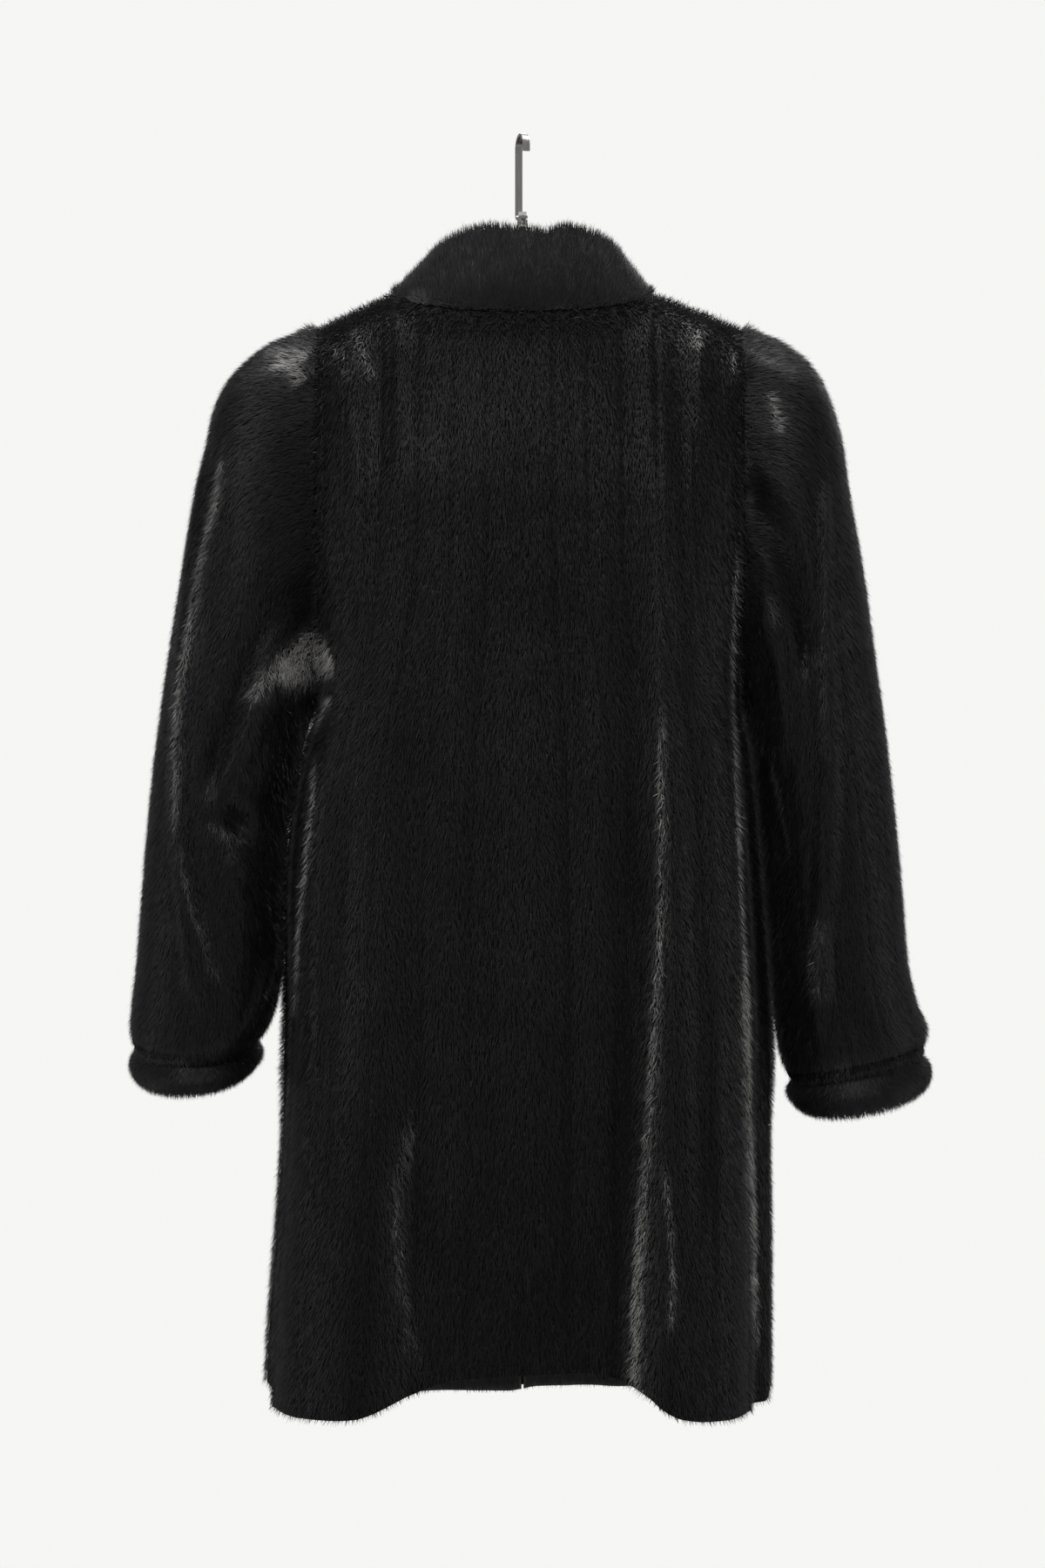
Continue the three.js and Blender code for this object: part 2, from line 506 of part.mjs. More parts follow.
// The rows of a body panel, from the hem's rolled edge up to the seam.
function bodyRows() {
  const skirt = ARMHOLE.pitZ - BODY[0].z;
  const rows = EDGE_STEPS.map((d) => d / skirt);
  for (let k = 1; k <= BODY_ROWS.skirt; k += 1) rows.push(k / BODY_ROWS.skirt);
  for (let k = 1; k <= BODY_ROWS.armhole; k += 1) rows.push(1 + k / BODY_ROWS.armhole);
  for (let k = 1; k <= BODY_ROWS.shoulder; k += 1) rows.push(2 + k / BODY_ROWS.shoulder);
  return rows;
}

// The axes that a body panel's seams cross: its side seams and shoulder seam cross y, its armholes x.
function bodySeams(grid, i, atSide, x) {
  const pit = EDGE_STEPS.length + BODY_ROWS.skirt - 1;
  const top = grid.length - 1;
  if (atSide) return i < pit ? "y" : i === pit || i === top ? "xy" : "x";
  return i === top && Math.abs(x) > NECK.halfWidth - CORNER_SLACK ? "y" : "";
}

// The share of the way round at which a column meets the shoulder seam's inner end.
function neckShare(side, sign) {
  const level = rowWhere(BODY, "z", ARMHOLE_Z);
  const edge = armholeDepth(ARMHOLE_Z) / (side < 0 ? level.back : level.front);
  const most = (1 - edge ** level.square) ** (1 / level.square);
  const at = (NECK.halfWidth / level[sign < 0 ? "left" : "right"]) * most;
  return (sign * Math.asin(at ** (SQUARENESS.columns / 2))) / Math.asin(most ** (SQUARENESS.columns / 2));
}

// Moves the nearest of a list of shares onto the neck's corner.
function snapToNeck(shares, side, sign) {
  const want = neckShare(side, sign);
  const off = shares.map((share) => Math.abs(share - want));
  shares[off.indexOf(Math.min(...off))] = want;
}

function backShares() {
  const shares = steps(BACK_COLUMNS, BACK_CROWDING).map((s) => s * 2 - 1);
  snapToNeck(shares, -1, -1);
  snapToNeck(shares, -1, 1);
  return shares;
}

function backGeometry() {
  const shares = backShares();
  const grid = bodyRows().map((row) => shares.map((share) => bodyPoint(-1, share, row)));
  const seams = (i, j) => bodySeams(grid, i, j === 0 || j === shares.length - 1, grid[i][j].x);
  return wallOf(grid, WALL, { rolls: (i) => EDGE_STEPS[i] ?? Infinity, seams });
}

// hand is -1 for the wearer's left front and 1 for the right.
function frontShares(hand) {
  const width = BODY[0].left;
  const shareOf = (x) => (Math.asin((x / width) ** (SQUARENESS.columns / 2)) * 2) / Math.PI;
  const edges = EDGE_STEPS.map((d) => shareOf(FRONT_EDGE_X + d));
  const rest = steps(FRONT_COLUMNS, FRONT_CROWDING).slice(1);
  const shares = [...edges, ...rest.map((s) => mix(edges[edges.length - 1], 1, s))].map((s) => s * hand);
  snapToNeck(shares, 1, hand);
  return shares;
}

function frontGeometry(hand) {
  const shares = frontShares(hand);
  const grid = bodyRows().map((row) => shares.map((share) => bodyPoint(1, share, row)));
  const rolls = (i, j) => Math.min(EDGE_STEPS[i] ?? Infinity, EDGE_STEPS[j] ?? Infinity);
  const seams = (i, j) => (j === 0 ? "x" : bodySeams(grid, i, j === shares.length - 1, grid[i][j].x));
  return wallOf(grid, WALL, { facing: -hand, rolls, seams });
}

// The angles of a sleeve's and a cuff's columns, closer together at the top of the arm.
function sleeveAngles() {
  return steps(SLEEVE_COLUMNS + 1, SLEEVE_CROWDING).slice(0, -1).map((s) => s * 360);
}

// hand is -1 for the wearer's left sleeve and 1 for the right.
function sleeveGeometry(hand) {
  const rings = hand < 0 ? LEFT_SLEEVE : RIGHT_SLEEVE;
  const creases = hand < 0 ? LEFT_CREASES : RIGHT_CREASES;
  const angles = sleeveAngles();
  const places = steps(SLEEVE_ROWS, SLEEVE_END_CROWDING).map((s) => s * (rings.length - 1));
  const grid = places.map((ring) =>
    angles.map((angle) => {
      const heights = creases.map((crease) => creaseAt(crease, angle, ring));
      return sleevePoint(rings, angle, ring, heights.reduce((sum, h) => sum + h, gathersAt(angle, ring)));
    }),
  );
  return wallOf(grid, WALL, { facing: hand, around: true, seams: (i) => (i === 0 ? "x" : "") });
}

function cuffGeometry(hand) {
  const rings = hand < 0 ? LEFT_CUFF : RIGHT_CUFF;
  const last = rings.length - 1;
  const placeAt = (fromEnd) => last * (1 - fromEnd / CUFF_LENGTH);
  const places = steps(CUFF_ROWS + 1).map((s) => s * placeAt(EDGE_ROLL));
  places.push(placeAt(EDGE_STEPS[1]), last);
  const grid = places.map((ring) => sleeveAngles().map((angle) => sleevePoint(rings, angle, ring, 0)));
  const rolls = (i) => (1 - places[i] / last) * CUFF_LENGTH;
  return wallOf(grid, WALL, { facing: hand, around: true, rolls });
}

// A point of the collar: angle is 0 at the back and runs to 180 at the front on each side, and up is 0
// at the neck seam and 1 at the top edge.
function collarPoint(angle, up) {
  const s = squared(Math.sin(radians(angle)), SQUARENESS.neck);
  const c = squared(Math.cos(radians(angle)), SQUARENESS.neck);
  const back = c > 0;
  const base = new THREE.Vector3(
    NECK.halfWidth * s,
    (back ? NECK.backY : -NECK.frontY) * c,
    NECK.sideZ - (back ? NECK.backDrop : NECK.frontDrop) * Math.abs(c) ** 1.4 + COLLAR_LIFT,
  );
  const top = new THREE.Vector3(
    COLLAR.halfWidth * s + COLLAR_LEAN * clamp(c + 0.5),
    (back ? COLLAR.backY : -COLLAR.frontY) * c,
    mix(COLLAR.sideZ, back ? COLLAR.backZ : COLLAR.frontZ, Math.abs(c) ** 1.5),
  );
  const point = base.lerp(top, up);
  const swell = COLLAR_BULGE * Math.sin(Math.PI * up);
  return point.add(new THREE.Vector3(s * swell, -c * swell, 0));
}

// The places round the neck, as angles from the middle of the back, of a body panel's columns.
function neckAngles(side, shares) {
  const tops = shares.map((share) => bodyPoint(side, share, 3).x);
  const xs = tops.filter((x) => Math.abs(x) < NECK.halfWidth + CORNER_SLACK);
  const angles = xs.map((x) => {
    const across = clamp(Math.abs(x) / NECK.halfWidth);
    const turn = THREE.MathUtils.radToDeg(Math.asin(across ** (SQUARENESS.neck / 2)));
    return Math.sign(x) * (side < 0 ? turn : 180 - turn);
  });
  return angles.sort((m, n) => m - n);
}

function collarGeometry() {
  const back = neckAngles(-1, backShares());
  const left = neckAngles(1, frontShares(-1));
  const right = neckAngles(1, frontShares(1));
  const angles = [...left.slice(0, -1), ...back, ...right.slice(1)];
  const rows = steps(COLLAR_ROWS + 1).map((s) => s * (1 - EDGE_ROLL / COLLAR_HEIGHT));
  rows.push(1 - EDGE_STEPS[1] / COLLAR_HEIGHT, 1);
  const grid = rows.map((up) => angles.map((angle) => collarPoint(angle, up)));
  const rolls = (i, j) => {
    const side = EDGE_STEPS[Math.min(j, angles.length - 1 - j)] ?? Infinity;
    return Math.min((1 - rows[i]) * COLLAR_HEIGHT, side);
  };
  const seams = (i, j) => (j === 0 || j === angles.length - 1 ? "x" : "");
  return wallOf(grid, COLLAR_WALL, { rolls, seams, baseRise: COLLAR_BASE_RISE });
}

// The hook's side view, drawn as a strip: up the shank, over the crown and down to the tip.
function hookGeometry() {
  const { inner, thick, bend, tipZ, footZ, footEnd, width } = HOOK;
  const outer = inner + thick;
  const shape = new THREE.Shape();
  shape.moveTo(-inner, tipZ);
  shape.lineTo(-inner, -inner);
  shape.absarc(0, -inner, inner, Math.PI, 0, true);
  shape.lineTo(inner, footZ + bend);
  shape.absarc(inner - bend, footZ + bend, bend, 0, -Math.PI / 2, true);
  shape.lineTo(footEnd, footZ);
  shape.lineTo(footEnd, footZ - thick);
  shape.lineTo(inner - bend, footZ - thick);
  shape.absarc(inner - bend, footZ + bend, bend + thick, -Math.PI / 2, 0, false);
  shape.lineTo(outer, -inner);
  shape.absarc(0, -inner, outer, 0, Math.PI, false);
  shape.lineTo(-outer, tipZ);
  const options = { depth: width, bevelEnabled: false, curveSegments: HOOK_STEPS };
  const geometry = new THREE.ExtrudeGeometry(shape, options);
  geometry.translate(0, 0, -width / 2);
  geometry.rotateX(Math.PI / 2);
  geometry.rotateZ(Math.PI / 2 + radians(HOOK.turn));
  return geometry;
}

function upright(radius, height, sides, topZ) {
  const geometry = new THREE.CylinderGeometry(radius, radius, height, sides);
  geometry.rotateX(Math.PI / 2);
  geometry.translate(0, 0, topZ - height / 2);
  return geometry;
}

function bowGeometry() {
  const points = [];
  const faces = [];
  for (let k = 0; k <= BOW_STEPS; k += 1) {
    const share = (k / BOW_STEPS) * 2 - 1;
    const r = rowAt(BOW, Math.abs(share) * (BOW.length - 1));
    for (let j = 0; j < BOW_SIDES; j += 1) {
      const a = (j / BOW_SIDES) * 2 * Math.PI;
      const x = Math.sign(share) * r.x;
      points.push(new THREE.Vector3(x, r.halfDeep * Math.cos(a), r.z + r.halfHigh * Math.sin(a)));
    }
  }
  const index = (k, j) => k * BOW_SIDES + (j % BOW_SIDES);
  for (let k = 0; k < BOW_STEPS; k += 1) {
    for (let j = 0; j < BOW_SIDES; j += 1) {
      const [a, b, c, d] = [index(k, j), index(k, j + 1), index(k + 1, j + 1), index(k + 1, j)];
      faces.push(a, b, c, a, c, d);
    }
  }
  for (let j = 1; j < BOW_SIDES - 1; j += 1) {
    faces.push(index(0, 0), index(0, j + 1), index(0, j));
    faces.push(index(BOW_STEPS, 0), index(BOW_STEPS, j), index(BOW_STEPS, j + 1));
  }
  return geometryOf(points, faces);
}

const fur = new THREE.MeshStandardMaterial({ color: 0x17181a, roughness: 0.75, metalness: 0 });
const steel = new THREE.MeshStandardMaterial({ color: 0xb9b8b2, roughness: 0.25, metalness: 1 });
const wood = new THREE.MeshStandardMaterial({ color: 0x9a6b42, roughness: 0.5, metalness: 0 });

const coat = new THREE.Group();

function add(name, geometry, material) {
  const mesh = new THREE.Mesh(geometry, material);
  mesh.name = name;
  coat.add(mesh);
}

add("back", backGeometry(), fur);
add("front_left", frontGeometry(-1), fur);
add("front_right", frontGeometry(1), fur);
add("sleeve_left", sleeveGeometry(-1), fur);
add("sleeve_right", sleeveGeometry(1), fur);
add("cuff_left", cuffGeometry(-1), fur);
add("cuff_right", cuffGeometry(1), fur);
add("collar", collarGeometry(), fur);
add("hanger_bow", bowGeometry(), wood);
add("hanger_hook", hookGeometry(), steel);
add("hanger_nut", upright(NUT.radius, NUT.height, NUT.sides, HOOK.footZ + SEAM_GAP + NUT.height), steel);
const ferruleTop = HOOK.footZ - HOOK.thick - SEAM_GAP;
add("hanger_ferrule", upright(FERRULE.radius, FERRULE.length, FERRULE.sides, ferruleTop), steel);

export default coat;
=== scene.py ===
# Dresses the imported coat: fur on each of its panels, the hide and lining under it, a wooden hanger
# with a steel hook, plain light and the photograph's view. Tables are in millimetres and repeat the
# part's own sizes. Meshes are in metres.
import math

import bpy
import numpy as np
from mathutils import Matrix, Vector


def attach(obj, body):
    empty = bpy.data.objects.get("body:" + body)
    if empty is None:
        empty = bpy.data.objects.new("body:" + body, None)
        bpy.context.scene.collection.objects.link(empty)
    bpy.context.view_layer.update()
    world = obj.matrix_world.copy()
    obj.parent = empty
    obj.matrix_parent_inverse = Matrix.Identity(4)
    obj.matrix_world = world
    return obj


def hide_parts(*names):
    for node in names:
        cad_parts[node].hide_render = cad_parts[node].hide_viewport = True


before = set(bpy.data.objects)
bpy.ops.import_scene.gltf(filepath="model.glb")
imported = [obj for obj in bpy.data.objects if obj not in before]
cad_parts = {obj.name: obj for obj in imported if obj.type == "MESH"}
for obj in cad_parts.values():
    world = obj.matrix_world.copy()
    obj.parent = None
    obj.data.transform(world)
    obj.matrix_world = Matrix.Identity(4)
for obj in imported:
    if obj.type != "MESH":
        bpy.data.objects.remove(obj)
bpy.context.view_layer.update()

MM = 0.001
WALL = 9
COLLAR_WALL = 14
SQUARE_COLUMNS, SQUARE_SLEEVE, SQUARE_NECK = 2.4, 2.15, 2.4
SINK = 2.8  # how far under the part's own surface the hide's outer face lies
SEAM_SINK = 0.3  # the same beside a seam
CUFF_TUCK = 4.2  # the same where a cuff is tucked into its sleeve
FREE_EDGE = 3.2  # how far the fur's tips run past the hide at a free edge


def table(columns, rows):
    """Rows of numbers as one array for each named column."""
    return {name: np.array(values, float) for name, values in zip(columns.split(), zip(*rows))}


ARMHOLE_LEFT, ARMHOLE_RIGHT, ARMHOLE_TOP, ARMHOLE_PIT, ARMHOLE_DEPTH = -163, 174, -155, -456.5, 66
ARMHOLE_Z = (ARMHOLE_TOP + ARMHOLE_PIT) / 2
ARMHOLE_HALF = (ARMHOLE_TOP - ARMHOLE_PIT) / 2
NECK_HALF, NECK_BACK, NECK_FRONT, NECK_SIDE_Z, NECK_BACK_DROP, NECK_FRONT_DROP = 103, -75, 82, -127, 23, 74
COLLAR_HALF, COLLAR_BACK, COLLAR_FRONT = 76, -63, 74
COLLAR_BACK_Z, COLLAR_SIDE_Z, COLLAR_FRONT_Z = -80, -99, -150
COLLAR_LIFT, COLLAR_LEAN = 0.7, 3.5

BODY = table("z left right back front square", [
    (-1052, 209, 201, 110, 132, 2.5),
    (-1004, 209, 201, 108, 130, 2.5),
    (-940, 206, 201, 106, 127, 2.5),
    (-876, 201, 201, 104, 123, 2.5),
    (-800, 196, 200, 102, 118, 2.6),
    (-720, 192, 200, 101, 113, 2.7),
    (-660, 192, 197, 101, 109, 2.8),
    (-590, 191, 191.5, 101, 105, 2.9),
    (-530, 184, 186, 101, 102, 3.1),
    (-490, 173.5, 181, 101, 99, 3.4),
    (-456.5, 163, 174, 101, 97, 3.6),
    (-420, 163, 174, 101.5, 96, 3.3),
    (-360, 163, 174, 102, 95, 2.9),
    (-300, 163, 174, 101, 92, 2.8),
])
BACK_HEM = table("share z", [
    (-1, -1013), (-0.8, -1017), (-0.45, -1016), (-0.33, -1011), (-0.23, -999), (-0.13, -987),
    (0.14, -981), (0.24, -992), (0.36, -1012), (0.55, -1017), (0.8, -1016), (1, -1013),
])
FRONT_HEM = table("share z", [
    (-1, -1013), (-0.55, -1024), (-0.02, -1031), (0.02, -1027), (0.55, -1022), (1, -1013),
])
FOLD = "start end rise_l rise_r top_z top hem drift aside"
BACK_FOLDS = table(FOLD, [
    (-0.76, -0.33, 0.24, 0.2, -470, 5, 40, 0.05, 0.1),
    (0.34, 0.74, 0.13, 0.22, -330, 10, 46, -0.1, 0.1),
    (0.78, 0.9, 0.07, 0.08, -500, -3, -11, -0.05, 1),
    (-0.97, -0.86, 0.07, 0.08, -520, -3, -8, 0.02, 1),
    (-0.5, -0.44, 0.12, 0.12, -180, -5, 0, 0, 0),
    (0.44, 0.48, 0.1, 0.1, -180, -5, 0, 0, 0),
    (-0.06, 0.06, 0.16, 0.16, -560, 0, 5, 0, 0),
])
FRONT_FOLDS = table(FOLD, [
    (-0.78, -0.4, 0.2, 0.2, -420, 4, 24, 0.03, 0.15),
    (0.36, 0.76, 0.2, 0.2, -400, 5, 27, -0.03, 0.15),
    (-0.3, -0.2, 0.12, 0.12, -520, -2, -9, 0, 0),
    (0.18, 0.28, 0.12, 0.12, -560, -2, -10, 0, 0),
    (-0.97, -0.88, 0.07, 0.08, -540, -3, -8, 0, 1),
    (0.86, 0.95, 0.08, 0.07, -520, -3, -9, 0, 1),
])
FOLD_FADE = 150  # how far above its top a fold dies away
ARMHOLE_FADE, SHOULDER_FADE = 0.15, 0.3  # where folds die away beside an armhole and on the shoulder
FOLD_AT_SIDE = 0.12  # the least share of a fold's height that points forwards or backwards
NECK_REACH, NECK_START = 30, 0.2  # where the shoulder's slope turns into the neck's

RING = "inner_x inner_z outer_x outer_z depth forward drop"
LEFT_SLEEVE = table(RING, [
    (-163.5, -456.5, -163.5, -155, 66, 0, 0),
    (-166.5, -460, -182, -160, 69, 0, 0),
    (-169.5, -465, -209, -172, 73, -1, 0),
    (-172.5, -471, -234, -194, 76, -2, 0),
    (-175, -479, -247.6, -220, 77, -3, 0),
    (-177.5, -489, -255.2, -258, 78, -4, 0),
    (-180, -500, -265.9, -308, 78, -5, 0),
    (-183, -514, -275.5, -365, 78, -5, 0),
    (-187, -533, -285.5, -430, 77, -5, 0),
    (-191, -557, -294.5, -495, 76, -4, 0),
    (-193, -589, -301.5, -560, 74, -2, 0),
    (-193.8, -630, -306.5, -618, 72, 0, 2),
    (-194.5, -668, -310.5, -665, 70, 2, 4),
    (-197, -697, -314.5, -699, 68, 4, 8),
    (-205, -717, -315.5, -718, 65, 5, 11),
    (-215, -728, -310.5, -731, 57, 6, 12),
])
RIGHT_SLEEVE = table(RING, [
    (174.5, -456.5, 174.5, -155, 66, 0, 0),
    (177.5, -460, 191, -160, 69, 0, 0),
    (179.5, -465, 211, -168, 73, 1, 0),
    (181.5, -471, 230, -182, 75, 2, 0),
    (183, -479, 244, -203, 76, 3, 0),
    (184.5, -489, 256, -240, 77, 4, 0),
    (186, -500, 263.4, -288, 77, 5, 0),
    (187.5, -514, 273.8, -346, 77, 6, 0),
    (189.5, -533, 283.1, -412, 76, 7, 0),
    (191.5, -557, 292.5, -480, 75, 8, 0),
    (194, -590, 300.5, -550, 74, 9, 0),
    (198, -635, 306.5, -612, 72, 11, 1),
    (201.5, -680, 310.5, -660, 71, 13, 2),
    (204, -718, 318, -694, 70, 15, 3),
    (209, -744, 327, -717, 67, 16, 4),
    (218, -759, 322, -735, 58, 17, 4),
])
LEFT_CUFF = table(RING, [
    (-213, -728.5, -311, -732, 57, 6, 12),
    (-210, -736, -315, -740, 61, 6, 14),
    (-214, -744, -314, -748, 60, 6, 15),
    (-222, -751, -307, -755, 55, 6, 16),
])
RIGHT_CUFF = table(RING, [
    (216, -759.5, 322, -736.5, 58, 17, 4),
    (214, -768, 328, -745, 62, 17, 8),
    (218, -776, 329, -754, 61, 17, 11),
    (227, -782.5, 324, -762, 55, 17, 13),
])
CREASE = "first last start middle end half height"
LEFT_CREASES = table(CREASE, [
    (4.5, 13, 14, 52, 96, 17, 6),
    (-0.6, 9.4, 116, 112, 84, 14, -8),
    (0.2, 8.8, 148, 132, 100, 16, 6),
    (8.6, 9.7, 112, 112, 112, 24, -10),
    (9.4, 10.8, 118, 114, 108, 24, 6),
    (11, 13.9, 158, 142, 124, 14, 4),
    (4, 12, 300, 280, 262, 18, 5),
    (3, 9, 238, 236, 252, 16, -6),
])
RIGHT_CREASES = table(CREASE, [
    (4.2, 13.4, 56, 92, 120, 16, 6),
    (0, 7, 84, 98, 93, 14, -8),
    (1, 8, 118, 122, 128, 16, 4),
    (6.5, 10.5, 152, 148, 136, 15, -6),
    (11, 13.6, 96, 92, 84, 18, -4),
    (4, 12, 304, 284, 264, 18, 5),
    (3, 9, 240, 238, 254, 16, -6),
])
CREASE_TAPER = 1
SLEEVE_RADIUS = 68
GATHERS_COUNT, GATHERS_SPREAD, GATHERS_HEIGHT, GATHERS_RINGS = 3, 62, 4, 4.5

# Creases that only the fur shows. Each runs through points of the front view, is half as wide as
# given, and stands out by a height, or in where that is negative.
BACK_LINES = [
    (8, 3, [(140, -142), (139, -180), (138, -226)]),
    (7, 2, [(173, -160), (170, -215)]),
    (15, -2, [(-119, -150), (-108, -230), (-104, -290)]),
    (12, 2.5, [(-140, -160), (-134, -260), (-132, -420)]),
    (14, -2.5, [(-88, -260), (-84, -420), (-86, -640), (-92, -820)]),
    (15, 2, [(-60, -300), (-58, -520), (-62, -760), (-60, -940)]),
    (13, -2, [(-30, -240), (-28, -480), (-26, -800), (-28, -960)]),
    (16, 2, [(6, -300), (4, -560), (6, -940)]),
    (14, -2.5, [(40, -330), (36, -620), (34, -950)]),
    (11, 2, [(64, -260), (60, -480), (56, -760)]),
    (9, -3, [(92, -300), (88, -480), (82, -700), (76, -900)]),
    (9, 2.5, [(146, -420), (150, -560), (154, -760), (156, -930)]),
    (8, -2.5, [(132, -520), (138, -700), (140, -900)]),
    (10, 2.5, [(-150, -480), (-158, -600), (-164, -760)]),
    (9, -2.5, [(-136, -520), (-146, -700), (-152, -900)]),
]
FRONT_LINES = [
    (15, 3, [(-60, -330), (-64, -600), (-66, -900)]),
    (14, 3, [(70, -360), (76, -640), (74, -930)]),
    (12, -3, [(-112, -430), (-104, -560), (-106, -760)]),
    (13, -3, [(116, -400), (110, -600), (112, -800)]),
    (10, -2.5, [(-28, -250), (-32, -520), (-30, -860)]),
    (10, -2.5, [(30, -280), (34, -500), (26, -820)]),
    (12, 2.5, [(-140, -500), (-150, -700), (-152, -900)]),
    (11, 2.5, [(142, -480), (150, -680), (150, -880)]),
]

# Painted highlights and painted shade put into the fur's colour, where it caught the light or lay in
# shade: how far each stroke reaches to the left and right in the photograph's view, how strong it is
# (below nought it is painted shade), and the points that it runs through. The broad strokes paint
# shade on the upper back and low down, and light across the middle.
BACK_PAINTED_LIGHT = [
    (4, 8, 0.62, [(106, -420), (105, -621), (97, -761), (90, -841), (86, -915), (83, -1004), (80, -1090)]),
    (4, 8, 0.34, [(92, -820), (86, -915), (84, -1070)]),
    (5, 24, 0.16, [(108, -230), (107, -400), (105, -621), (96, -780), (88, -900), (86, -1004), (84, -1090)]),
    (80, 80, -0.17, [(0, -110), (0, -420)]),
    (80, 80, 0.1, [(0, -360), (0, -720)]),
    (90, 60, -0.1, [(0, -780), (0, -1090)]),
    (34, 34, -0.2, [(-132, -740), (-134, -1080)]),
    (24, 24, -0.18, [(134, -740), (136, -1080)]),
    (3, 2.5, 0.95, [(170, -300), (167, -411), (168, -475), (173, -611), (178, -700), (181, -760)]),
    (8, 3, 1.0, [(177, -640), (179, -734), (182, -813), (186, -887), (189, -1000)]),
    (22, 5, 0.12, [(170, -480), (174, -700), (184, -980)]),
    (2.5, 5, 0.72, [(-165, -478), (-167, -534), (-173, -588), (-179, -636), (-184, -720)]),
    (3, 16, 0.14, [(-166, -480), (-178, -640), (-190, -860)]),
    (3, 9, 0.66, [
        (-231, -226), (-245, -299), (-256, -346), (-265, -401),
        (-273, -453), (-275, -496), (-274, -543), (-271, -592),
    ]),
    (4, 26, 0.12, [(-231, -226), (-256, -346), (-273, -453), (-274, -560)]),
    (3, 8, 0.46, [(-273, -560), (-261, -611), (-249, -648), (-239, -684)]),
    (12, 12, 0.05, [(24, -270), (30, -385), (26, -500)]),
    (14, 14, 0.05, [(-50, -300), (-46, -420), (-50, -560)]),
    (9, 9, 0.07, [(18, -800), (20, -900)]),
    (8, 8, 0.06, [(-59, -760), (-58, -900)]),
    (26, 26, 0.11, [(-126, -380), (-130, -600), (-132, -760)]),
    (22, 22, 0.11, [(138, -300), (140, -500), (142, -700)]),
    (4, 4, 0.8, [(109, -805), (114, -860), (116, -906), (113, -952)]),
    (9, 6, -0.25, [(97, -520), (94, -641), (86, -742), (78, -857), (72, -980)]),
    (12, 8, 0.5, [(-82, -760), (-96, -845), (-94, -895), (-87, -935), (-78, -995)]),
    (11, 4, 0.71, [(-136, -152), (-126, -175), (-114, -206)]),
    (12, 7, 0.44, [(-154, -166), (-142, -182), (-134, -206)]),
    (3, 8, -0.3, [(-109, -150), (-106, -210), (-104, -300)]),
    (10, 10, 0.61, [(98, -134), (117, -144), (135, -155), (153, -162)]),
    (8, 7, 1.02, [(138, -152), (139, -163), (137, -178)]),
    (5, 5, 0.44, [(139, -170), (135, -211), (134, -250)]),
    (4, 3, 0.75, [(169, -155), (169, -177), (167, -203)]),
    (13, 13, 0.85, [(-198, -182), (-184, -189), (-168, -204)]),
    (9, 9, 0.58, [(-206, -172), (-184, -175), (-164, -182)]),
    (14, 14, 1.6, [(-148, -418), (-169, -427), (-192, -435)]),
    (14, 14, 0.75, [(-156, -394), (-181, -421), (-205, -441), (-220, -458)]),
    (7, 7, 0.68, [(-150, -448), (-160, -464), (-170, -478)]),
    (8, 8, -0.35, [(-150, -362), (-178, -394), (-205, -419), (-232, -450)]),
    (8, 7, 0.51, [(-250, -549), (-231, -558), (-212, -564)]),
    (9, 9, -0.3, [(-224, -522), (-205, -530), (-188, -524)]),
    (8, 8, 0.78, [(194, -206), (198, -229), (201, -246)]),
    (10, 10, 0.34, [(182, -180), (203, -188), (221, -199)]),
    (3, 5, 0.34, [(238, -320), (234, -411), (234, -510)]),
    (5, 6, 0.54, [(177, -290), (182, -320)]),
    (8, 8, 0.48, [(192, -368), (200, -398)]),
    (8, 8, -0.35, [(174, -264), (191, -329), (207, -380), (222, -412)]),
    (5, 14, 0.51, [(233, -616), (226, -657), (230, -700)]),
    (40, 30, -0.08, [(-60, -860), (-10, -950), (60, -900)]),
    (10, 10, 0.34, [(212, -755), (236, -750), (266, -743)]),
    (7, 8, 0.34, [(-304, -730), (-285, -737), (-258, -742)]),
    (6, 6, 0.4, [(-88, -134), (-80, -138), (-76, -146)]),
]
FRONT_PAINTED_LIGHT = [
    (12, 5, 0.32, [(-70, -560), (-76, -700), (-78, -840), (-80, -1000)]),
    (5, 12, 0.32, [(66, -540), (72, -700), (74, -860), (78, -1000)]),
    (7, 4, 0.34, [(-176, -560), (-184, -700), (-192, -860), (-196, -980)]),
    (4, 7, 0.34, [(172, -540), (182, -700), (190, -860), (194, -980)]),
    (10, 10, 0.4, [(-150, -166), (-132, -170), (-116, -190)]),
    (10, 10, 0.36, [(150, -166), (132, -172), (118, -196)]),
    (12, 5, 0.4, [(-240, -260), (-262, -400), (-272, -520), (-266, -620)]),
    (5, 12, 0.4, [(246, -250), (262, -400), (270, -520), (268, -640)]),
    (11, 11, 0.5, [(-166, -408), (-190, -430), (-214, -452)]),
    (11, 11, 0.46, [(176, -404), (200, -428), (224, -452)]),
    (12, 12, 0.36, [(-196, -186), (-176, -196)]),
    (12, 12, 0.36, [(198, -196), (182, -206)]),
    (8, 8, -0.3, [(-152, -370), (-180, -400), (-214, -432)]),
    (8, 8, -0.3, [(166, -366), (192, -396), (226, -430)]),
]


def mix(a, b, share):
    return a + (b - a) * share


def ease(v):
    c = np.clip(v, 0, 1)
    return c * c * (3 - 2 * c)


def squared(v, squareness):
    return np.sign(v) * np.abs(v) ** (2 / squareness)


def cubic(b, c, slope_b, slope_c, f):
    rise = c - b
    return b + f * (slope_b + f * (3 * rise - 2 * slope_b - slope_c + f * (slope_b + slope_c - 2 * rise)))


def row_at(rows, place):
    """All the columns of a table at places between its rows."""
    last = len(next(iter(rows.values()))) - 1
    low = np.clip(np.floor(place).astype(int), 0, last - 1)
    out = {}
    for name, column in rows.items():
        a, b, c, d = (column[np.clip(low + k, 0, last)] for k in (-1, 0, 1, 2))
        out[name] = cubic(b, c, (c - a) / 2, (d - b) / 2, place - low)
    return out


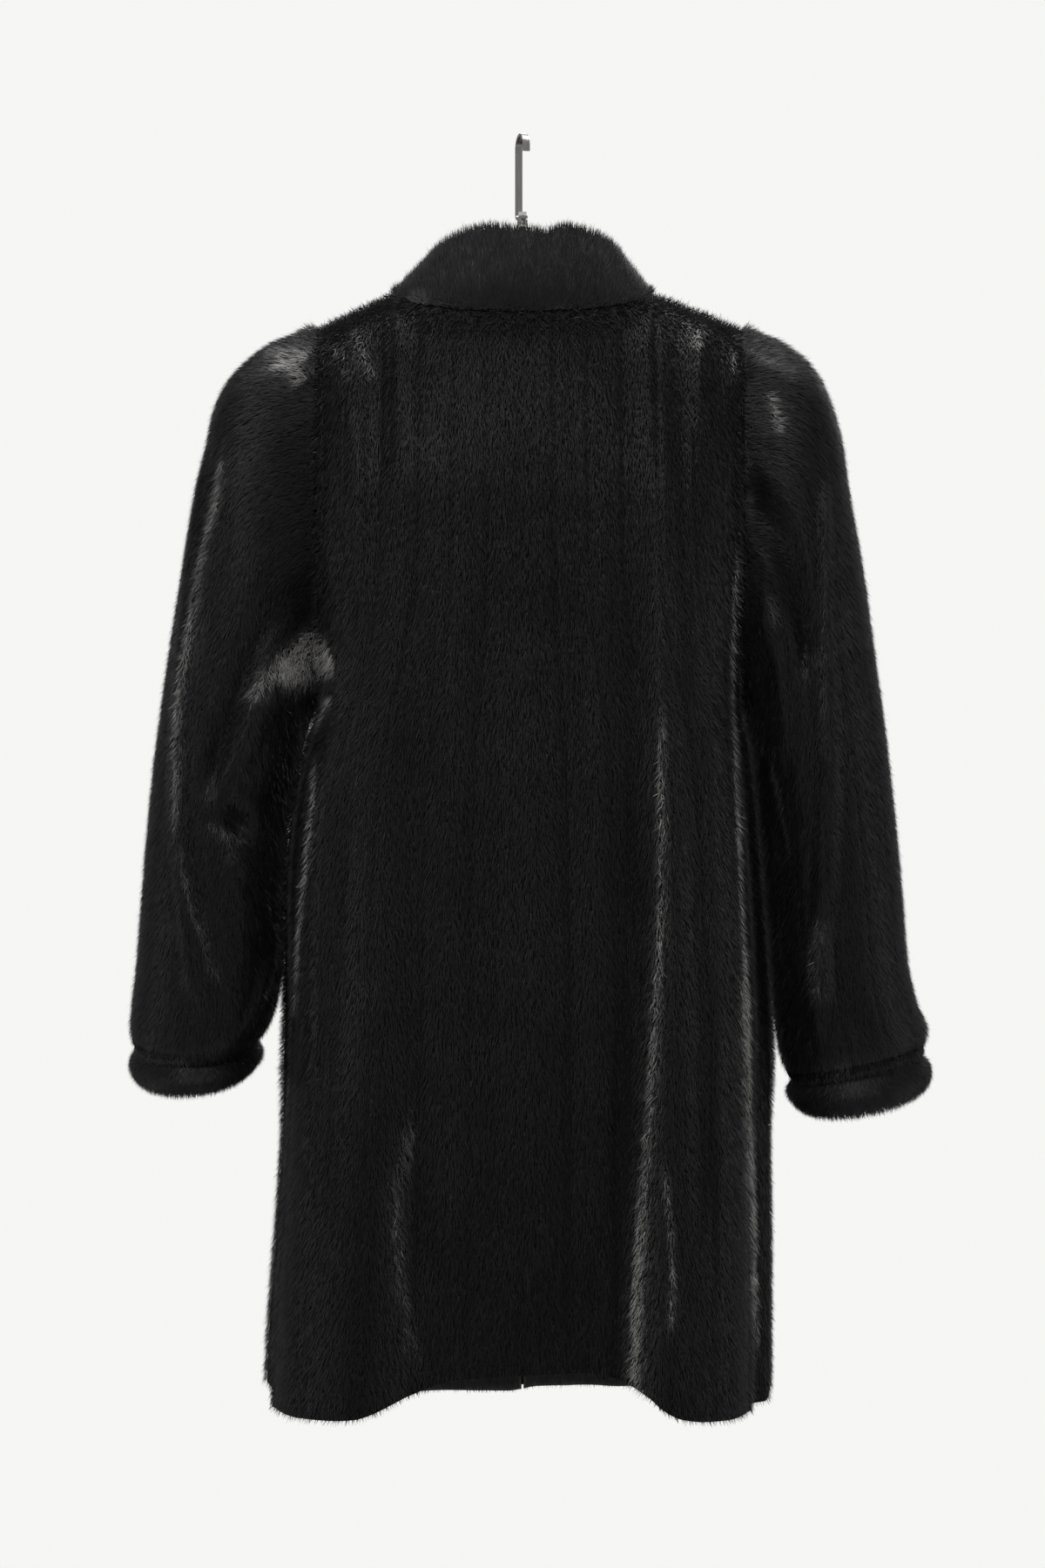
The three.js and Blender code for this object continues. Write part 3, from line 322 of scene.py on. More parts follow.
def row_where(rows, key, value):
    """The same for a table that rises in one column, where that column has a value."""
    keys = rows[key]
    last = len(keys) - 1
    low = np.clip(np.searchsorted(keys, value) - 1, 0, last - 1)
    near = [np.clip(low + k, 0, last) for k in (-1, 0, 1, 2)]
    ka, kb, kc, kd = (keys[i] for i in near)
    f = np.clip((value - kb) / (kc - kb), 0, 1)
    out = {}
    for name, column in rows.items():
        a, b, c, d = (column[i] for i in near)
        span = kc - kb
        out[name] = cubic(b, c, (c - a) / (kc - ka) * span, (d - b) / (kd - kb) * span, f)
    return out


def folds_at(folds, place, z, hem_z):
    """How far a body's folds stand out, and spread sideways."""
    outward = np.zeros(np.broadcast(place, z).shape)
    sideways = outward.copy()
    for k in range(len(folds["start"])):
        fold = {name: column[k] for name, column in folds.items()}
        down = np.clip((fold["top_z"] - z) / (fold["top_z"] - hem_z), 0, 1)
        moved = place - fold["drift"] * down
        band = ease((moved - fold["start"]) / fold["rise_l"] + 0.5)
        band = band * ease((fold["end"] - moved) / fold["rise_r"] + 0.5)
        grown = mix(fold["top"], fold["hem"], ease(down)) * ease(1 - (z - fold["top_z"]) / FOLD_FADE)
        outward += band * grown
        sideways += band * grown * fold["aside"]
    return outward, sideways


def armhole_depth(z):
    up = np.abs(z - ARMHOLE_Z) / ARMHOLE_HALF
    return ARMHOLE_DEPTH * np.maximum(0, 1 - up**SQUARE_SLEEVE) ** (1 / SQUARE_SLEEVE)


def ring_at(side, share, z):
    """A ring of the body without its folds: across, deep, the armhole's edge and the angle turned."""
    level = row_where(BODY, "z", z)
    width = np.where(share < 0, level["left"], level["right"])
    depth = level["back"] if side < 0 else level["front"]
    square = level["square"]
    edge = np.where(z > ARMHOLE_PIT, np.minimum(armhole_depth(z) / depth, 1), 0)
    most_across = (1 - edge**square) ** (1 / square)
    most = np.arcsin(most_across ** (SQUARE_COLUMNS / 2))
    at = squared(np.sin(np.abs(share) * most), SQUARE_COLUMNS)
    across = np.minimum(1, at / most_across)
    deep = np.maximum(0, 1 - at**square) ** (1 / square)
    return width * across, depth * deep, edge, np.arcsin(across ** (SQUARE_COLUMNS / 2))


def folded_at(side, share, edge, turned, z, hem_z):
    """How far the folds move a point of such a ring, sideways and outwards."""
    place = np.sign(share) * turned * 2 / math.pi
    outward, sideways = folds_at(BACK_FOLDS if side < 0 else FRONT_FOLDS, place, z, hem_z)
    beside = ease((1 - np.abs(share)) / ARMHOLE_FADE)
    keep = np.where(z > ARMHOLE_PIT, mix(1, beside, ease(edge * 2)), 1)
    return sideways * keep * np.sin(turned), outward * keep * np.maximum(np.cos(turned), FOLD_AT_SIDE)


def ring_point(side, share, z, hem_z):
    x, y, edge, turned = ring_at(side, share, z)
    aside, out = folded_at(side, share, edge, turned, z, hem_z)
    return np.stack([np.sign(share) * (x + aside), side * (y + out), z + 0 * x], -1)


def neck_point(side, x):
    across = np.minimum(np.abs(x) / NECK_HALF, 1)
    depth = (1 - across**SQUARE_NECK) ** (1 / SQUARE_NECK)
    y = depth * (NECK_BACK if side < 0 else NECK_FRONT)
    z = NECK_SIDE_Z - (NECK_BACK_DROP if side < 0 else NECK_FRONT_DROP) * depth**1.4
    return np.stack([x, y, z], -1)


def top_point(side, x):
    tip = np.where(x < 0, -ARMHOLE_LEFT, ARMHOLE_RIGHT)
    down = np.maximum(0, np.abs(x) - NECK_HALF) / (tip - NECK_HALF)
    seam = np.stack([x, 0 * x, mix(NECK_SIDE_Z, ARMHOLE_TOP, down)], -1)
    return np.where((np.abs(x) < NECK_HALF - 0.1)[..., None], neck_point(side, x), seam)


def shoulder_point(side, share, up, hem_z):
    x, y, edge, turned = ring_at(side, share, np.full_like(share, ARMHOLE_Z))
    high = top_point(side, np.sign(share) * x)
    turn = up * math.pi / 2
    rise = squared(np.sin(turn), SQUARE_SLEEVE)
    roll = 1 - squared(np.cos(turn), SQUARE_SLEEVE)
    over_neck = ease((NECK_HALF - x) / NECK_REACH + NECK_START)
    inward = mix(roll, up**1.9, over_neck)
    z = mix(ARMHOLE_Z, high[..., 2], mix(rise, up**0.9, over_neck))
    aside, out = folded_at(side, share, edge, turned, z, hem_z)
    keep = ease((1 - up) / SHOULDER_FADE)
    deep = mix(side * y, high[..., 1], inward) + side * out * keep
    return np.stack([high[..., 0] + np.sign(share) * aside * keep, deep, z], -1)


def body_points(side, share, row):
    """Body points by row: 0 to 1 is the skirt, 1 to 2 the lower armhole and 2 to 3 the shoulder."""
    hem_z = row_where(BACK_HEM if side < 0 else FRONT_HEM, "share", share)["z"]
    skirt_z = mix(hem_z, ARMHOLE_PIT, np.minimum(row, 1))
    climb = 1 - squared(np.cos(np.clip(row - 1, 0, 1) * math.pi / 2), SQUARE_SLEEVE)
    z = np.where(row <= 1, skirt_z, mix(ARMHOLE_PIT, ARMHOLE_Z, climb))
    ring = ring_point(side, share, z, hem_z)
    top = shoulder_point(side, share, np.clip(row - 2, 0, 1), hem_z)
    return np.where((row > 2)[..., None], top, ring)


def crease_heights(creases, angle, ring):
    total = np.zeros(np.broadcast(angle, ring).shape)
    for k in range(len(creases["first"])):
        first, last, start, middle, end, half, height = (creases[name][k] for name in CREASE.split())
        along = np.clip((ring - first) / (last - first), 0, 1)
        here = mix(mix(start, middle, along), mix(middle, end, along), along)
        off = np.radians((angle - here + 180) % 360 - 180) * SLEEVE_RADIUS / half
        taper = min(CREASE_TAPER, (last - first) / 2)
        ends = ease((ring - first) / taper) * ease((last - ring) / taper)
        total += height * np.maximum(0, 1 - off * off) ** 2 * ends
    return total


def gather_heights(angle, ring):
    off = ((angle + 180) % 360 - 180) / GATHERS_SPREAD
    fade = ease(ring / 0.6) * ease(1 - ring / GATHERS_RINGS) * np.maximum(0, 1 - off * off)
    return GATHERS_HEIGHT * fade * np.cos(off * math.pi * GATHERS_COUNT)


def sleeve_points(rings, angle, ring, height):
    r = row_at(rings, ring)
    c = squared(np.cos(np.radians(angle)), SQUARE_SLEEVE)
    s = squared(np.sin(np.radians(angle)), SQUARE_SLEEVE)
    across_x = (r["outer_x"] - r["inner_x"]) / 2
    across_z = (r["outer_z"] - r["inner_z"]) / 2
    grow = 1 + height / np.hypot(across_x, across_z)
    x = (r["outer_x"] + r["inner_x"]) / 2 + across_x * c * grow
    y = r["forward"] - (r["depth"] + height) * s
    z = (r["outer_z"] + r["inner_z"]) / 2 + across_z * c * grow - r["drop"] * s
    return np.stack([x, y, z], -1)


def collar_points(angle, up):
    s = squared(np.sin(np.radians(angle)), SQUARE_NECK)
    c = squared(np.cos(np.radians(angle)), SQUARE_NECK)
    back = c > 0
    deep = np.abs(c)
    base = np.stack([
        NECK_HALF * s,
        np.where(back, NECK_BACK, -NECK_FRONT) * c,
        NECK_SIDE_Z - np.where(back, NECK_BACK_DROP, NECK_FRONT_DROP) * deep**1.4 + COLLAR_LIFT,
    ], -1)
    top = np.stack([
        COLLAR_HALF * s + COLLAR_LEAN * np.clip(c + 0.5, 0, 1),
        np.where(back, COLLAR_BACK, -COLLAR_FRONT) * c,
        mix(COLLAR_SIDE_Z, np.where(back, COLLAR_BACK_Z, COLLAR_FRONT_Z), deep**1.5),
    ], -1)
    swell = np.sin(math.pi * up)
    return mix(base, top, up[..., None]) + np.stack([s * swell, -c * swell, 0 * s], -1)


def unit(v):
    return v / np.maximum(np.linalg.norm(v, axis=-1, keepdims=True), 1e-9)


def lattice_noise(points, scale, seed):
    """Smooth noise from -1 to 1 at points, with lumps about as large as scale."""
    n = 32
    grid = np.random.default_rng(seed).uniform(-1, 1, (n, n, n)).astype(np.float32)
    p = points / scale
    low = np.floor(p).astype(int)
    f = p - low
    f = f * f * (3 - 2 * f)
    total = 0
    for corner in range(8):
        d = np.array([corner & 1, corner >> 1 & 1, corner >> 2 & 1])
        i = (low + d) % n
        w = np.prod(np.where(d, f, 1 - f), axis=-1)
        total = total + w * grid[i[..., 0], i[..., 1], i[..., 2]]
    return total


class Panel:
    """A panel's outer face as a fine grid of points, with what the fur does at each.

    normals and naps point outward and along the fur, strip is the place across a pelt strip, rim and
    mess are how trimmed and how ruffled the fur is, sink is how deep the hide, and one more field holds
    the painted highlights and painted shade put into the fur's colour.
    """

    def __init__(self, points, facing, around, nap, relief=0.0):
        self.around = around
        self.points = points
        self.normals = self.outward(facing)
        if np.ndim(relief):
            self.points = points + self.normals * relief[..., None]
            self.normals = self.outward(facing)
        down = -self.slope(self.points, 0)
        self.naps = unit(down * nap)
        rows, columns = points.shape[:2]
        self.strip = np.zeros((rows, columns))
        self.rim = np.zeros((rows, columns))
        self.mess = np.zeros((rows, columns))
        self.painted_light = np.zeros((rows, columns))
        self.sink = np.full((rows, columns), float(SINK))

    def slope(self, points, axis):
        if axis == 1 and self.around:
            return np.roll(points, -1, 1) - np.roll(points, 1, 1)
        return np.gradient(points, axis=axis)

    def outward(self, facing):
        return unit(np.cross(self.slope(self.points, 1), self.slope(self.points, 0)) * facing)


def near_line(points, way):
    """How far each point of a grid is from a line in the front view, on which side and how far along."""
    p = points[..., [0, 2]]
    way = np.array(way, float)
    steps = np.linalg.norm(np.diff(way, axis=0), axis=1)
    starts = np.concatenate([[0], np.cumsum(steps)])
    nearest = np.full(points.shape[:2], 1e9)
    along, beside = np.zeros_like(nearest), np.zeros_like(nearest)
    for a, b, start, step in zip(way, way[1:], starts, steps):
        t = np.clip(((p - a) @ (b - a)) / step**2, 0, 1)
        away = p - (a + t[..., None] * (b - a))
        d = np.linalg.norm(away, axis=-1)
        along = np.where(d < nearest, (start + t * step) / starts[-1], along)
        beside = np.where(d < nearest, away[..., 0], beside)
        nearest = np.minimum(nearest, d)
    return nearest, beside, along


def line_relief(points, lines):
    """How far a panel's creases stand out at its points."""
    total = np.zeros(points.shape[:2])
    for half, height, way in lines:
        nearest, _, along = near_line(points, way)
        total += height * np.exp(-((nearest / half) ** 2)) * ease(along * 4) * ease((1 - along) * 4)
    return total


def painted_light_on(panel, side, lines):
    """How much painted highlight or painted shade the strokes put into the fur's colour on a panel, where it
    faces their side.
    """
    total = np.zeros(panel.points.shape[:2])
    for left, right, strength, way in lines:
        nearest, beside, along = near_line(panel.points, way)
        reach = np.where(beside < 0, left, right)
        total += strength / (1 + (nearest / reach) ** 2) ** 2 * ease(along * 6) * ease((1 - along) * 6)
    return total * ease((side * panel.normals[..., 1] + 0.25) / 0.3)


SMOOTH = 0.7  # how far a lock's shading follows the panel's form rather than its own
STRIP = 33  # the width of a pelt strip
STRIPS_FROM = 18.5  # how far a join of two strips lies to the right of the back's middle
JOIN = 0.8  # how deep the fur lies at the join of two strips
SLEEVE_JOIN = 0.4  # a sleeve's share of that
HEM_CORNER = {-1: 14, 1: 20}  # how far the hem is rounded up at the side seams of the back and fronts
CORNER_FROM = 0.84  # the share of the way round where that begins
HEM_RIM = 24  # how far up from the hem the fur is trimmed
HEM_ROWS = 14  # how many of a panel's rows have fur folded in at the hem
SKIRT, LOWER_ARMHOLE, SHOULDER = 560, 150, 190  # about how long the body's three stretches of rows are
SEAM_MESS = 0.6  # how ruffled the fur is beside a seam of the body or a sleeve


def join_depth(strip):
    """How deep the fur lies beside the join of two strips."""
    return JOIN * np.exp(-(((0.5 - np.abs(strip)) / 0.07) ** 2))


def strips_at(across):
    """The place across a pelt strip, from -0.5 to 0.5, at a distance across the panel."""
    return (across / STRIP + 0.5) % 1 - 0.5


def wrapped(grid):
    """A grid with its first column repeated after its last."""
    return np.concatenate([grid, grid[:, :1]], 1)


def cells(index):
    """The point numbers at the four corners of each cell of a grid of them."""
    return (part.ravel() for part in (index[:-1, :-1], index[:-1, 1:], index[1:, 1:], index[1:, :-1]))


def arc(points, start):
    """How far each point of a grid is along its row from a column."""
    step = np.linalg.norm(np.diff(points, axis=1), axis=-1)
    total = np.concatenate([np.zeros((len(points), 1)), np.cumsum(step, 1)], 1)
    return total - total[:, start : start + 1]


def body_panel(side, low_share, high_share, columns, rows, facing, hem_cut):
    """The back (side -1) or a front (side 1), between two shares of the way round to a side seam."""
    share = np.linspace(low_share, high_share, columns)
    if side > 0:
        share = np.sign(high_share) * mix(abs(low_share), 1, np.linspace(0, 1, columns) ** 1.4)
    # Rows are spaced by their real lengths.
    ends = np.cumsum([0, SKIRT, LOWER_ARMHOLE, SHOULDER])
    row = np.interp(np.linspace(0, ends[-1], rows), ends, [hem_cut / SKIRT, 1, 2, 3])
    share, row = np.meshgrid(share, row)
    corner = ease((np.abs(share) - CORNER_FROM) / (1 - CORNER_FROM))
    corner = HEM_CORNER[side] * corner**1.5 / SKIRT
    row = row + corner * np.clip(1 - row * 4, 0, 1)
    points = body_points(side, share, row)
    middle = int(np.argmin(np.abs(share[0])))
    across = arc(points, middle)
    chest = int(np.argmin(np.abs(row[:, 0] - 1)))
    strip = strips_at(np.broadcast_to(across[chest] + STRIPS_FROM, across.shape))
    relief = line_relief(points, BACK_LINES if side < 0 else FRONT_LINES) - join_depth(strip)
    panel = Panel(points, facing, False, 1, relief)
    # Painted highlights and painted shade from the strokes, for the fur's colour.
    panel.painted_light = painted_light_on(panel, side, BACK_PAINTED_LIGHT if side < 0 else FRONT_PAINTED_LIGHT)
    panel.rim = ease(1 - row * SKIRT / HEM_RIM)
    panel.strip = strip
    beside = ease((row - 2.85) / 0.13)
    under_arm = ease((points[..., 2] + 800) / 60)
    beside = np.maximum(beside, ease((np.abs(share) - 0.9) / 0.08) * under_arm)
    panel.sink = mix(SINK, SEAM_SINK, beside)
    panel.mess = beside * SEAM_MESS
    return panel


def sleeve_panel(hand, columns, rows):
    rings = LEFT_SLEEVE if hand < 0 else RIGHT_SLEEVE
    creases = LEFT_CREASES if hand < 0 else RIGHT_CREASES
    angle, ring = np.meshgrid(np.linspace(0, 360, columns, endpoint=False), np.linspace(0, 15, rows))
    height = crease_heights(creases, angle, ring) + gather_heights(angle, ring)
    points = sleeve_points(rings, angle, ring, height)
    around = 2 * math.pi * SLEEVE_RADIUS
    strip = strips_at(angle / 360 * round(around / STRIP) * STRIP)
    panel = Panel(points, hand, True, -1, -join_depth(strip) * SLEEVE_JOIN * ease(ring / 1.5))
    # Painted highlights and painted shade from the strokes, for the fur's colour.
    panel.painted_light = painted_light_on(panel, -1, BACK_PAINTED_LIGHT) + painted_light_on(panel, 1, FRONT_PAINTED_LIGHT)
    panel.strip = strip
    under_arm = ease((-np.cos(np.radians(angle)) - 0.6) / 0.3) * ease((13 - ring) / 1.5)
    ends = np.maximum(ease(1 - ring), ease((ring - 14.3) / 0.7))
    panel.sink = mix(SINK, SEAM_SINK, np.maximum(under_arm, ends))
    panel.mess = ends * SEAM_MESS
    return panel


TUCKED = 0.3  # how many rings of a cuff are tucked into its sleeve


def cuff_panel(hand, columns, rows, cut):
    rings = LEFT_CUFF if hand < 0 else RIGHT_CUFF
    turns = np.linspace(0, 360, columns, endpoint=False)
    angle, ring = np.meshgrid(turns, np.linspace(-TUCKED, 3 * (1 - cut), rows))
    points = sleeve_points(rings, angle, ring, 0 * angle)
    panel = Panel(points, hand, True, -1)
    panel.sink = mix(CUFF_TUCK, SINK, ease((ring + TUCKED) / (1 + TUCKED)))
    # Painted light: the cuff's fur is painted a little lighter all over, plus the strokes' painted
    # highlights and shade.
    panel.painted_light = 0.12 + painted_light_on(panel, -1, BACK_PAINTED_LIGHT) + painted_light_on(panel, 1, FRONT_PAINTED_LIGHT)
    return panel


def collar_panel(columns, rows):
    angle, up = np.meshgrid(np.linspace(-179.3, 179.3, columns), np.linspace(0, 1, rows))
    # The top edge dips at the hanger's neck, most of all just beside it.
    up = up * (1 - 0.07 * np.exp(-((angle / 14) ** 2)) - 0.05 * np.exp(-(((angle - 9) / 5) ** 2)))
    panel = Panel(collar_points(angle, up), 1, False, -1)
    panel.sink = mix(1.2, SINK, ease(up / 0.15))
    panel.mess = ease(1 - up / 0.16)
    # Painted light: the collar's fur is painted lighter all over and more so above its base, plus the
    # strokes' painted highlights and shade.
    panel.painted_light = 0.12 + 0.13 * ease(up / 0.3) + painted_light_on(panel, -1, BACK_PAINTED_LIGHT)
    return panel


def inside_of(panel, thick):
    """The inner face of a panel's wall, as a panel that faces the other way."""
    inner = Panel(panel.points - panel.normals * thick, 1, panel.around, -1)
    inner.normals = -panel.normals
    inner.naps = panel.naps
    inner.strip, inner.sink = panel.strip, np.full(panel.sink.shape, float(SINK))
    return inner


def hem_facing(panel, rows):
    """The fur that is folded in at the hem: the inner face of a panel's lowest rows."""
    inner = inside_of(panel, WALL)
    low = Panel(inner.points[:rows], 1, False, -1)
    low.normals, low.naps = inner.normals[:rows], -inner.naps[:rows]
    low.sink = np.zeros(low.sink.shape)
    return low


def make_mesh(name, points, faces, materials, slots=None, smooth=True):
    """A mesh object from points in millimetres and an array of triangles or quads."""
    mesh = bpy.data.meshes.new(name)
    mesh.vertices.add(len(points))
    mesh.vertices.foreach_set("co", (np.asarray(points, np.float32) * np.float32(MM)).ravel())
    faces = np.asarray(faces, np.int32)
    count, sides = faces.shape
    mesh.loops.add(count * sides)
    mesh.loops.foreach_set("vertex_index", faces.ravel())
    mesh.polygons.add(count)
    mesh.polygons.foreach_set("loop_start", np.arange(0, count * sides, sides, dtype=np.int32))
    if slots is not None:
        mesh.polygons.foreach_set("material_index", np.asarray(slots, np.int32))
    mesh.polygons.foreach_set("use_smooth", np.full(count, smooth))
    for material in materials:
        mesh.materials.append(material)
    mesh.update(calc_edges=True)
    obj = bpy.data.objects.new(name, mesh)
    bpy.context.scene.collection.objects.link(obj)
    return obj


def shell(name, panel, thick, step, materials, flatten=None):
    """The hide and lining under a panel's fur, as a thin closed wall."""
    last_row, last_column = panel.points.shape[0] - 1, panel.points.shape[1] - 1
    take_rows = np.unique(np.append(np.arange(0, last_row + 1, step[0]), last_row))
    take_columns = np.arange(0, last_column + 1, step[1])
    if not panel.around:
        take_columns = np.unique(np.append(take_columns, last_column))
    points = panel.points[np.ix_(take_rows, take_columns)]
    normals = panel.normals[np.ix_(take_rows, take_columns)].copy()
    if flatten:
        flatten(points, normals)
        normals = unit(normals)
    rows, columns = points.shape[:2]
    sink = panel.sink[np.ix_(take_rows, take_columns)][..., None]
    both = np.concatenate([(points - normals * depth).reshape(-1, 3) for depth in (sink, thick)])
    index = np.arange(rows * columns).reshape(rows, columns)
    if panel.around:
        index = wrapped(index)
    a, b, c, d = cells(index)
    count = rows * columns
    outer = np.stack([a, b, c, d], 1)
    inner = np.stack([d, c, b, a], 1) + count
    edges = [index[0][::-1], index[-1]]
    if not panel.around:
        edges += [index[:, 0], index[::-1, -1]]
    rims = [np.stack([edge[:-1], edge[1:], edge[1:] + count, edge[:-1] + count], 1) for edge in edges]
    rims = np.concatenate(rims)
    if facing_of(points, normals, outer) < 0:
        outer, inner, rims = outer[:, ::-1], inner[:, ::-1], rims[:, ::-1]
    faces = np.concatenate([outer, inner, rims])
    slots = np.concatenate([np.zeros(len(outer)), np.ones(len(inner)), np.zeros(len(rims))])
    return make_mesh(name, both, faces, materials, slots)


def facing_of(points, normals, outer):
    flat = points.reshape(-1, 3)
    a, b, c = (flat[outer[:, k]] for k in (0, 1, 2))
    made = np.cross(b - a, c - a)
    return float((made * normals.reshape(-1, 3)[outer[:, 0]]).sum())


def fur(name, panel, count, length, width, lift, spikes, seed, material):
    """A panel's fur: one thin triangle for each lock, rooted on the hide and combed along the nap."""
    rng = np.random.default_rng(seed)
    points, normals, naps = panel.points, panel.normals, panel.naps
    strip, sink = panel.strip, panel.sink
    rows, columns = points.shape[:2]
    if panel.around:
        points, normals, naps, strip, sink = map(wrapped, (points, normals, naps, strip, sink))
        columns += 1
    du = points[:-1, 1:] - points[:-1, :-1]
    dv = points[1:, :-1] - points[:-1, :-1]
    areas = np.linalg.norm(np.cross(du, dv), axis=-1).ravel()
    total = np.cumsum(areas)
    pick = (np.arange(count) + rng.random(count)) / count * total[-1]
    cell = np.minimum(np.searchsorted(total, pick), len(areas) - 1)
    i, j = np.divmod(cell, columns - 1)
    f, g = rng.random(count), rng.random(count)

    def between(v):
        low = mix(v[i, j].T, v[i, j + 1].T, g)
        high = mix(v[i + 1, j].T, v[i + 1, j + 1].T, g)
        return mix(low, high, f).T

    def between_scalar(v):
        if panel.around:
            v = wrapped(v)
        return mix(mix(v[i, j], v[i, j + 1], g), mix(v[i + 1, j], v[i + 1, j + 1], g), f)

    root = between(points)
    out = unit(between(normals))
    nap = between(naps)
    nap = unit(nap - out * (nap * out).sum(-1, keepdims=True))
    side = np.cross(out, nap)
    here = strip[i, np.minimum(j + (g > 0.5), columns - 1)]

    broad = lattice_noise(root, 26, seed + 1)
    fine = lattice_noise(root * [1.6, 1.6, 0.6], 7, seed + 2)
    lock = lattice_noise(root * [1.8, 1.8, 0.8], 4.2, seed + 3)
    painted_light = between_scalar(panel.painted_light)
    rim, mess = between_scalar(panel.rim), between_scalar(panel.mess)
    guard = rng.random(count) < 0.3
    spike = rng.random(count) < spikes
    unruly = np.clip(np.abs(painted_light) * 2, 0, 1)
    ruffled = rng.normal(0, 1, count) * (7 + 12 * unruly + 50 * mess)
    turn = np.radians(4 * broad + 1.5 * fine + 12 * here + ruffled)
    raised = lift * (1 + 0.06 * broad + 0.03 * lock) + rng.normal(0, 5.5, count)
    raised = raised + guard * 5 + spike * 16 + mess * 16
    raised = np.radians(np.maximum(raised, 6))
    long = length * (1 + 0.03 * fine + 0.05 * lock + rng.normal(0, 0.11, count)) * np.where(guard, 1.15, 1)
    long = long * (1 - 0.3 * rim)
    wide = width * rng.uniform(0.75, 1.25, count) * np.where(guard, 0.72, 1.1) * np.where(spike, 1.5, 1)
    flat = nap * np.cos(turn)[:, None] + side * np.sin(turn)[:, None]
    aim = flat * np.cos(raised)[:, None] + out * np.sin(raised)[:, None]
    across = unit(np.cross(aim, out))
    over = np.cross(across, aim)
    roll = np.clip(rng.normal(0, math.radians(26), count), -1.2, 1.2)
    blade = across * np.cos(roll)[:, None] + over * np.sin(roll)[:, None]
    face = np.cross(blade, aim)
    flip = np.sign((face * out).sum(-1, keepdims=True))
    blade = blade * np.where(flip == 0, 1, flip)
    shine = unit(out * SMOOTH + unit(np.cross(blade, aim)) * (1 - SMOOTH))
    root = root - out * sink[i, j][:, None]
    half = blade * (wide / 2)[:, None]
    tip = root + aim * long[:, None]
    corners = np.stack([root - half, root + half, tip], 1).reshape(-1, 3)
    faces = np.arange(count * 3).reshape(-1, 3)
    obj = make_mesh(name, corners, faces, [material])
    mesh = obj.data
    mesh.normals_split_custom_set_from_vertices(np.repeat(shine, 3, axis=0).astype(np.float32))
    uv = np.stack([(j + g) / (columns - 1), (i + f) / (rows - 1)], 1)
    size = 0.5 / math.sqrt(count)
    maps = np.stack([uv, uv + [size, 0], uv + [0, size]], 1)
    layer = mesh.uv_layers.new(name="OFBake")
    layer.uv.foreach_set("vector", np.clip(maps, 0, 1).astype(np.float32).ravel())
    fur_tone_and_painted_light = mesh.attributes.new("fur_tone_and_painted_light", "FLOAT", "POINT")
    shade = 0.5 + 0.12 * fine + 0.08 * lock + 0.12 * broad + rng.normal(0, 0.17, count)
    shade = np.clip(shade, 0, 1) * (1 - 0.3 * np.exp(-(((0.5 - np.abs(here)) / 0.06) ** 2)))
    # Painted highlights, streaked lock by lock, and painted shade from the strokes, added to each lock's own
    # random tone, which is darker at the joins of strips.
    lit = painted_light * np.where(painted_light > 0, 0.45 + 0.8 * rng.random(count) ** 1.5 + 0.1 * lock, 1)
    fur_tone_and_painted_light.data.foreach_set("value", np.repeat(np.clip(shade * 0.5 + lit, 0, 1), 3).astype(np.float32))
    return obj


# Materials


class Look:
    """A material with a Principled shader and a chain of nodes that feed it."""

    def __init__(self, name):
        self.material = bpy.data.materials.new(name)
        self.material.use_nodes = True
        self.nodes = self.material.node_tree.nodes
        self.link = self.material.node_tree.links.new
        self.shader = self.nodes["Principled BSDF"]

    def place(self, scale=None):
        """Object coordinates, stretched by a scale for each axis where one is given."""
        here = self.nodes.new("ShaderNodeTexCoord").outputs["Object"]
        if scale is None:
            return here
        stretch = self.nodes.new("ShaderNodeMapping")
        stretch.inputs["Scale"].default_value = scale
        self.link(here, stretch.inputs["Vector"])
        return stretch.outputs["Vector"]

    def texture(self, kind, place, **values):
        node = self.nodes.new(kind)
        for name, value in values.items():
            node.inputs[name].default_value = value
        if place:
            self.link(place, node.inputs["Vector"])
        return node

    def ranged(self, fac, low, high):
        node = self.nodes.new("ShaderNodeMapRange")
        node.inputs["To Min"].default_value = low
        node.inputs["To Max"].default_value = high
        self.link(fac, node.inputs["Value"])
        return node.outputs["Result"]

    def colour(self, fac, *stops):
        """Base colour by a factor, from (position, red, green, blue) stops."""
        ramp = self.nodes.new("ShaderNodeValToRGB")
        shades = ramp.color_ramp.elements
        for shade, (position, *rgb) in zip(shades, (stops[0], stops[-1])):
            shade.position = position
            shade.color = (*rgb, 1)
        for position, *rgb in stops[1:-1]:
            shades.new(position).color = (*rgb, 1)
        self.link(fac, ramp.inputs["Fac"])
        self.link(ramp.outputs["Color"], self.shader.inputs["Base Color"])

    def roughness(self, fac, low, high):
        self.link(self.ranged(fac, low, high), self.shader.inputs["Roughness"])

    def bump(self, fac, strength, distance):
        node = self.nodes.new("ShaderNodeBump")
        node.inputs["Strength"].default_value = strength
        node.inputs["Distance"].default_value = distance
        self.link(fac, node.inputs["Height"])
        self.link(node.outputs["Normal"], self.shader.inputs["Normal"])

    def plain(self, **values):
        """Sets sockets of the shader, named with _ for a space."""
        for name, value in values.items():
            self.shader.inputs[name.replace("_", " ")].default_value = value


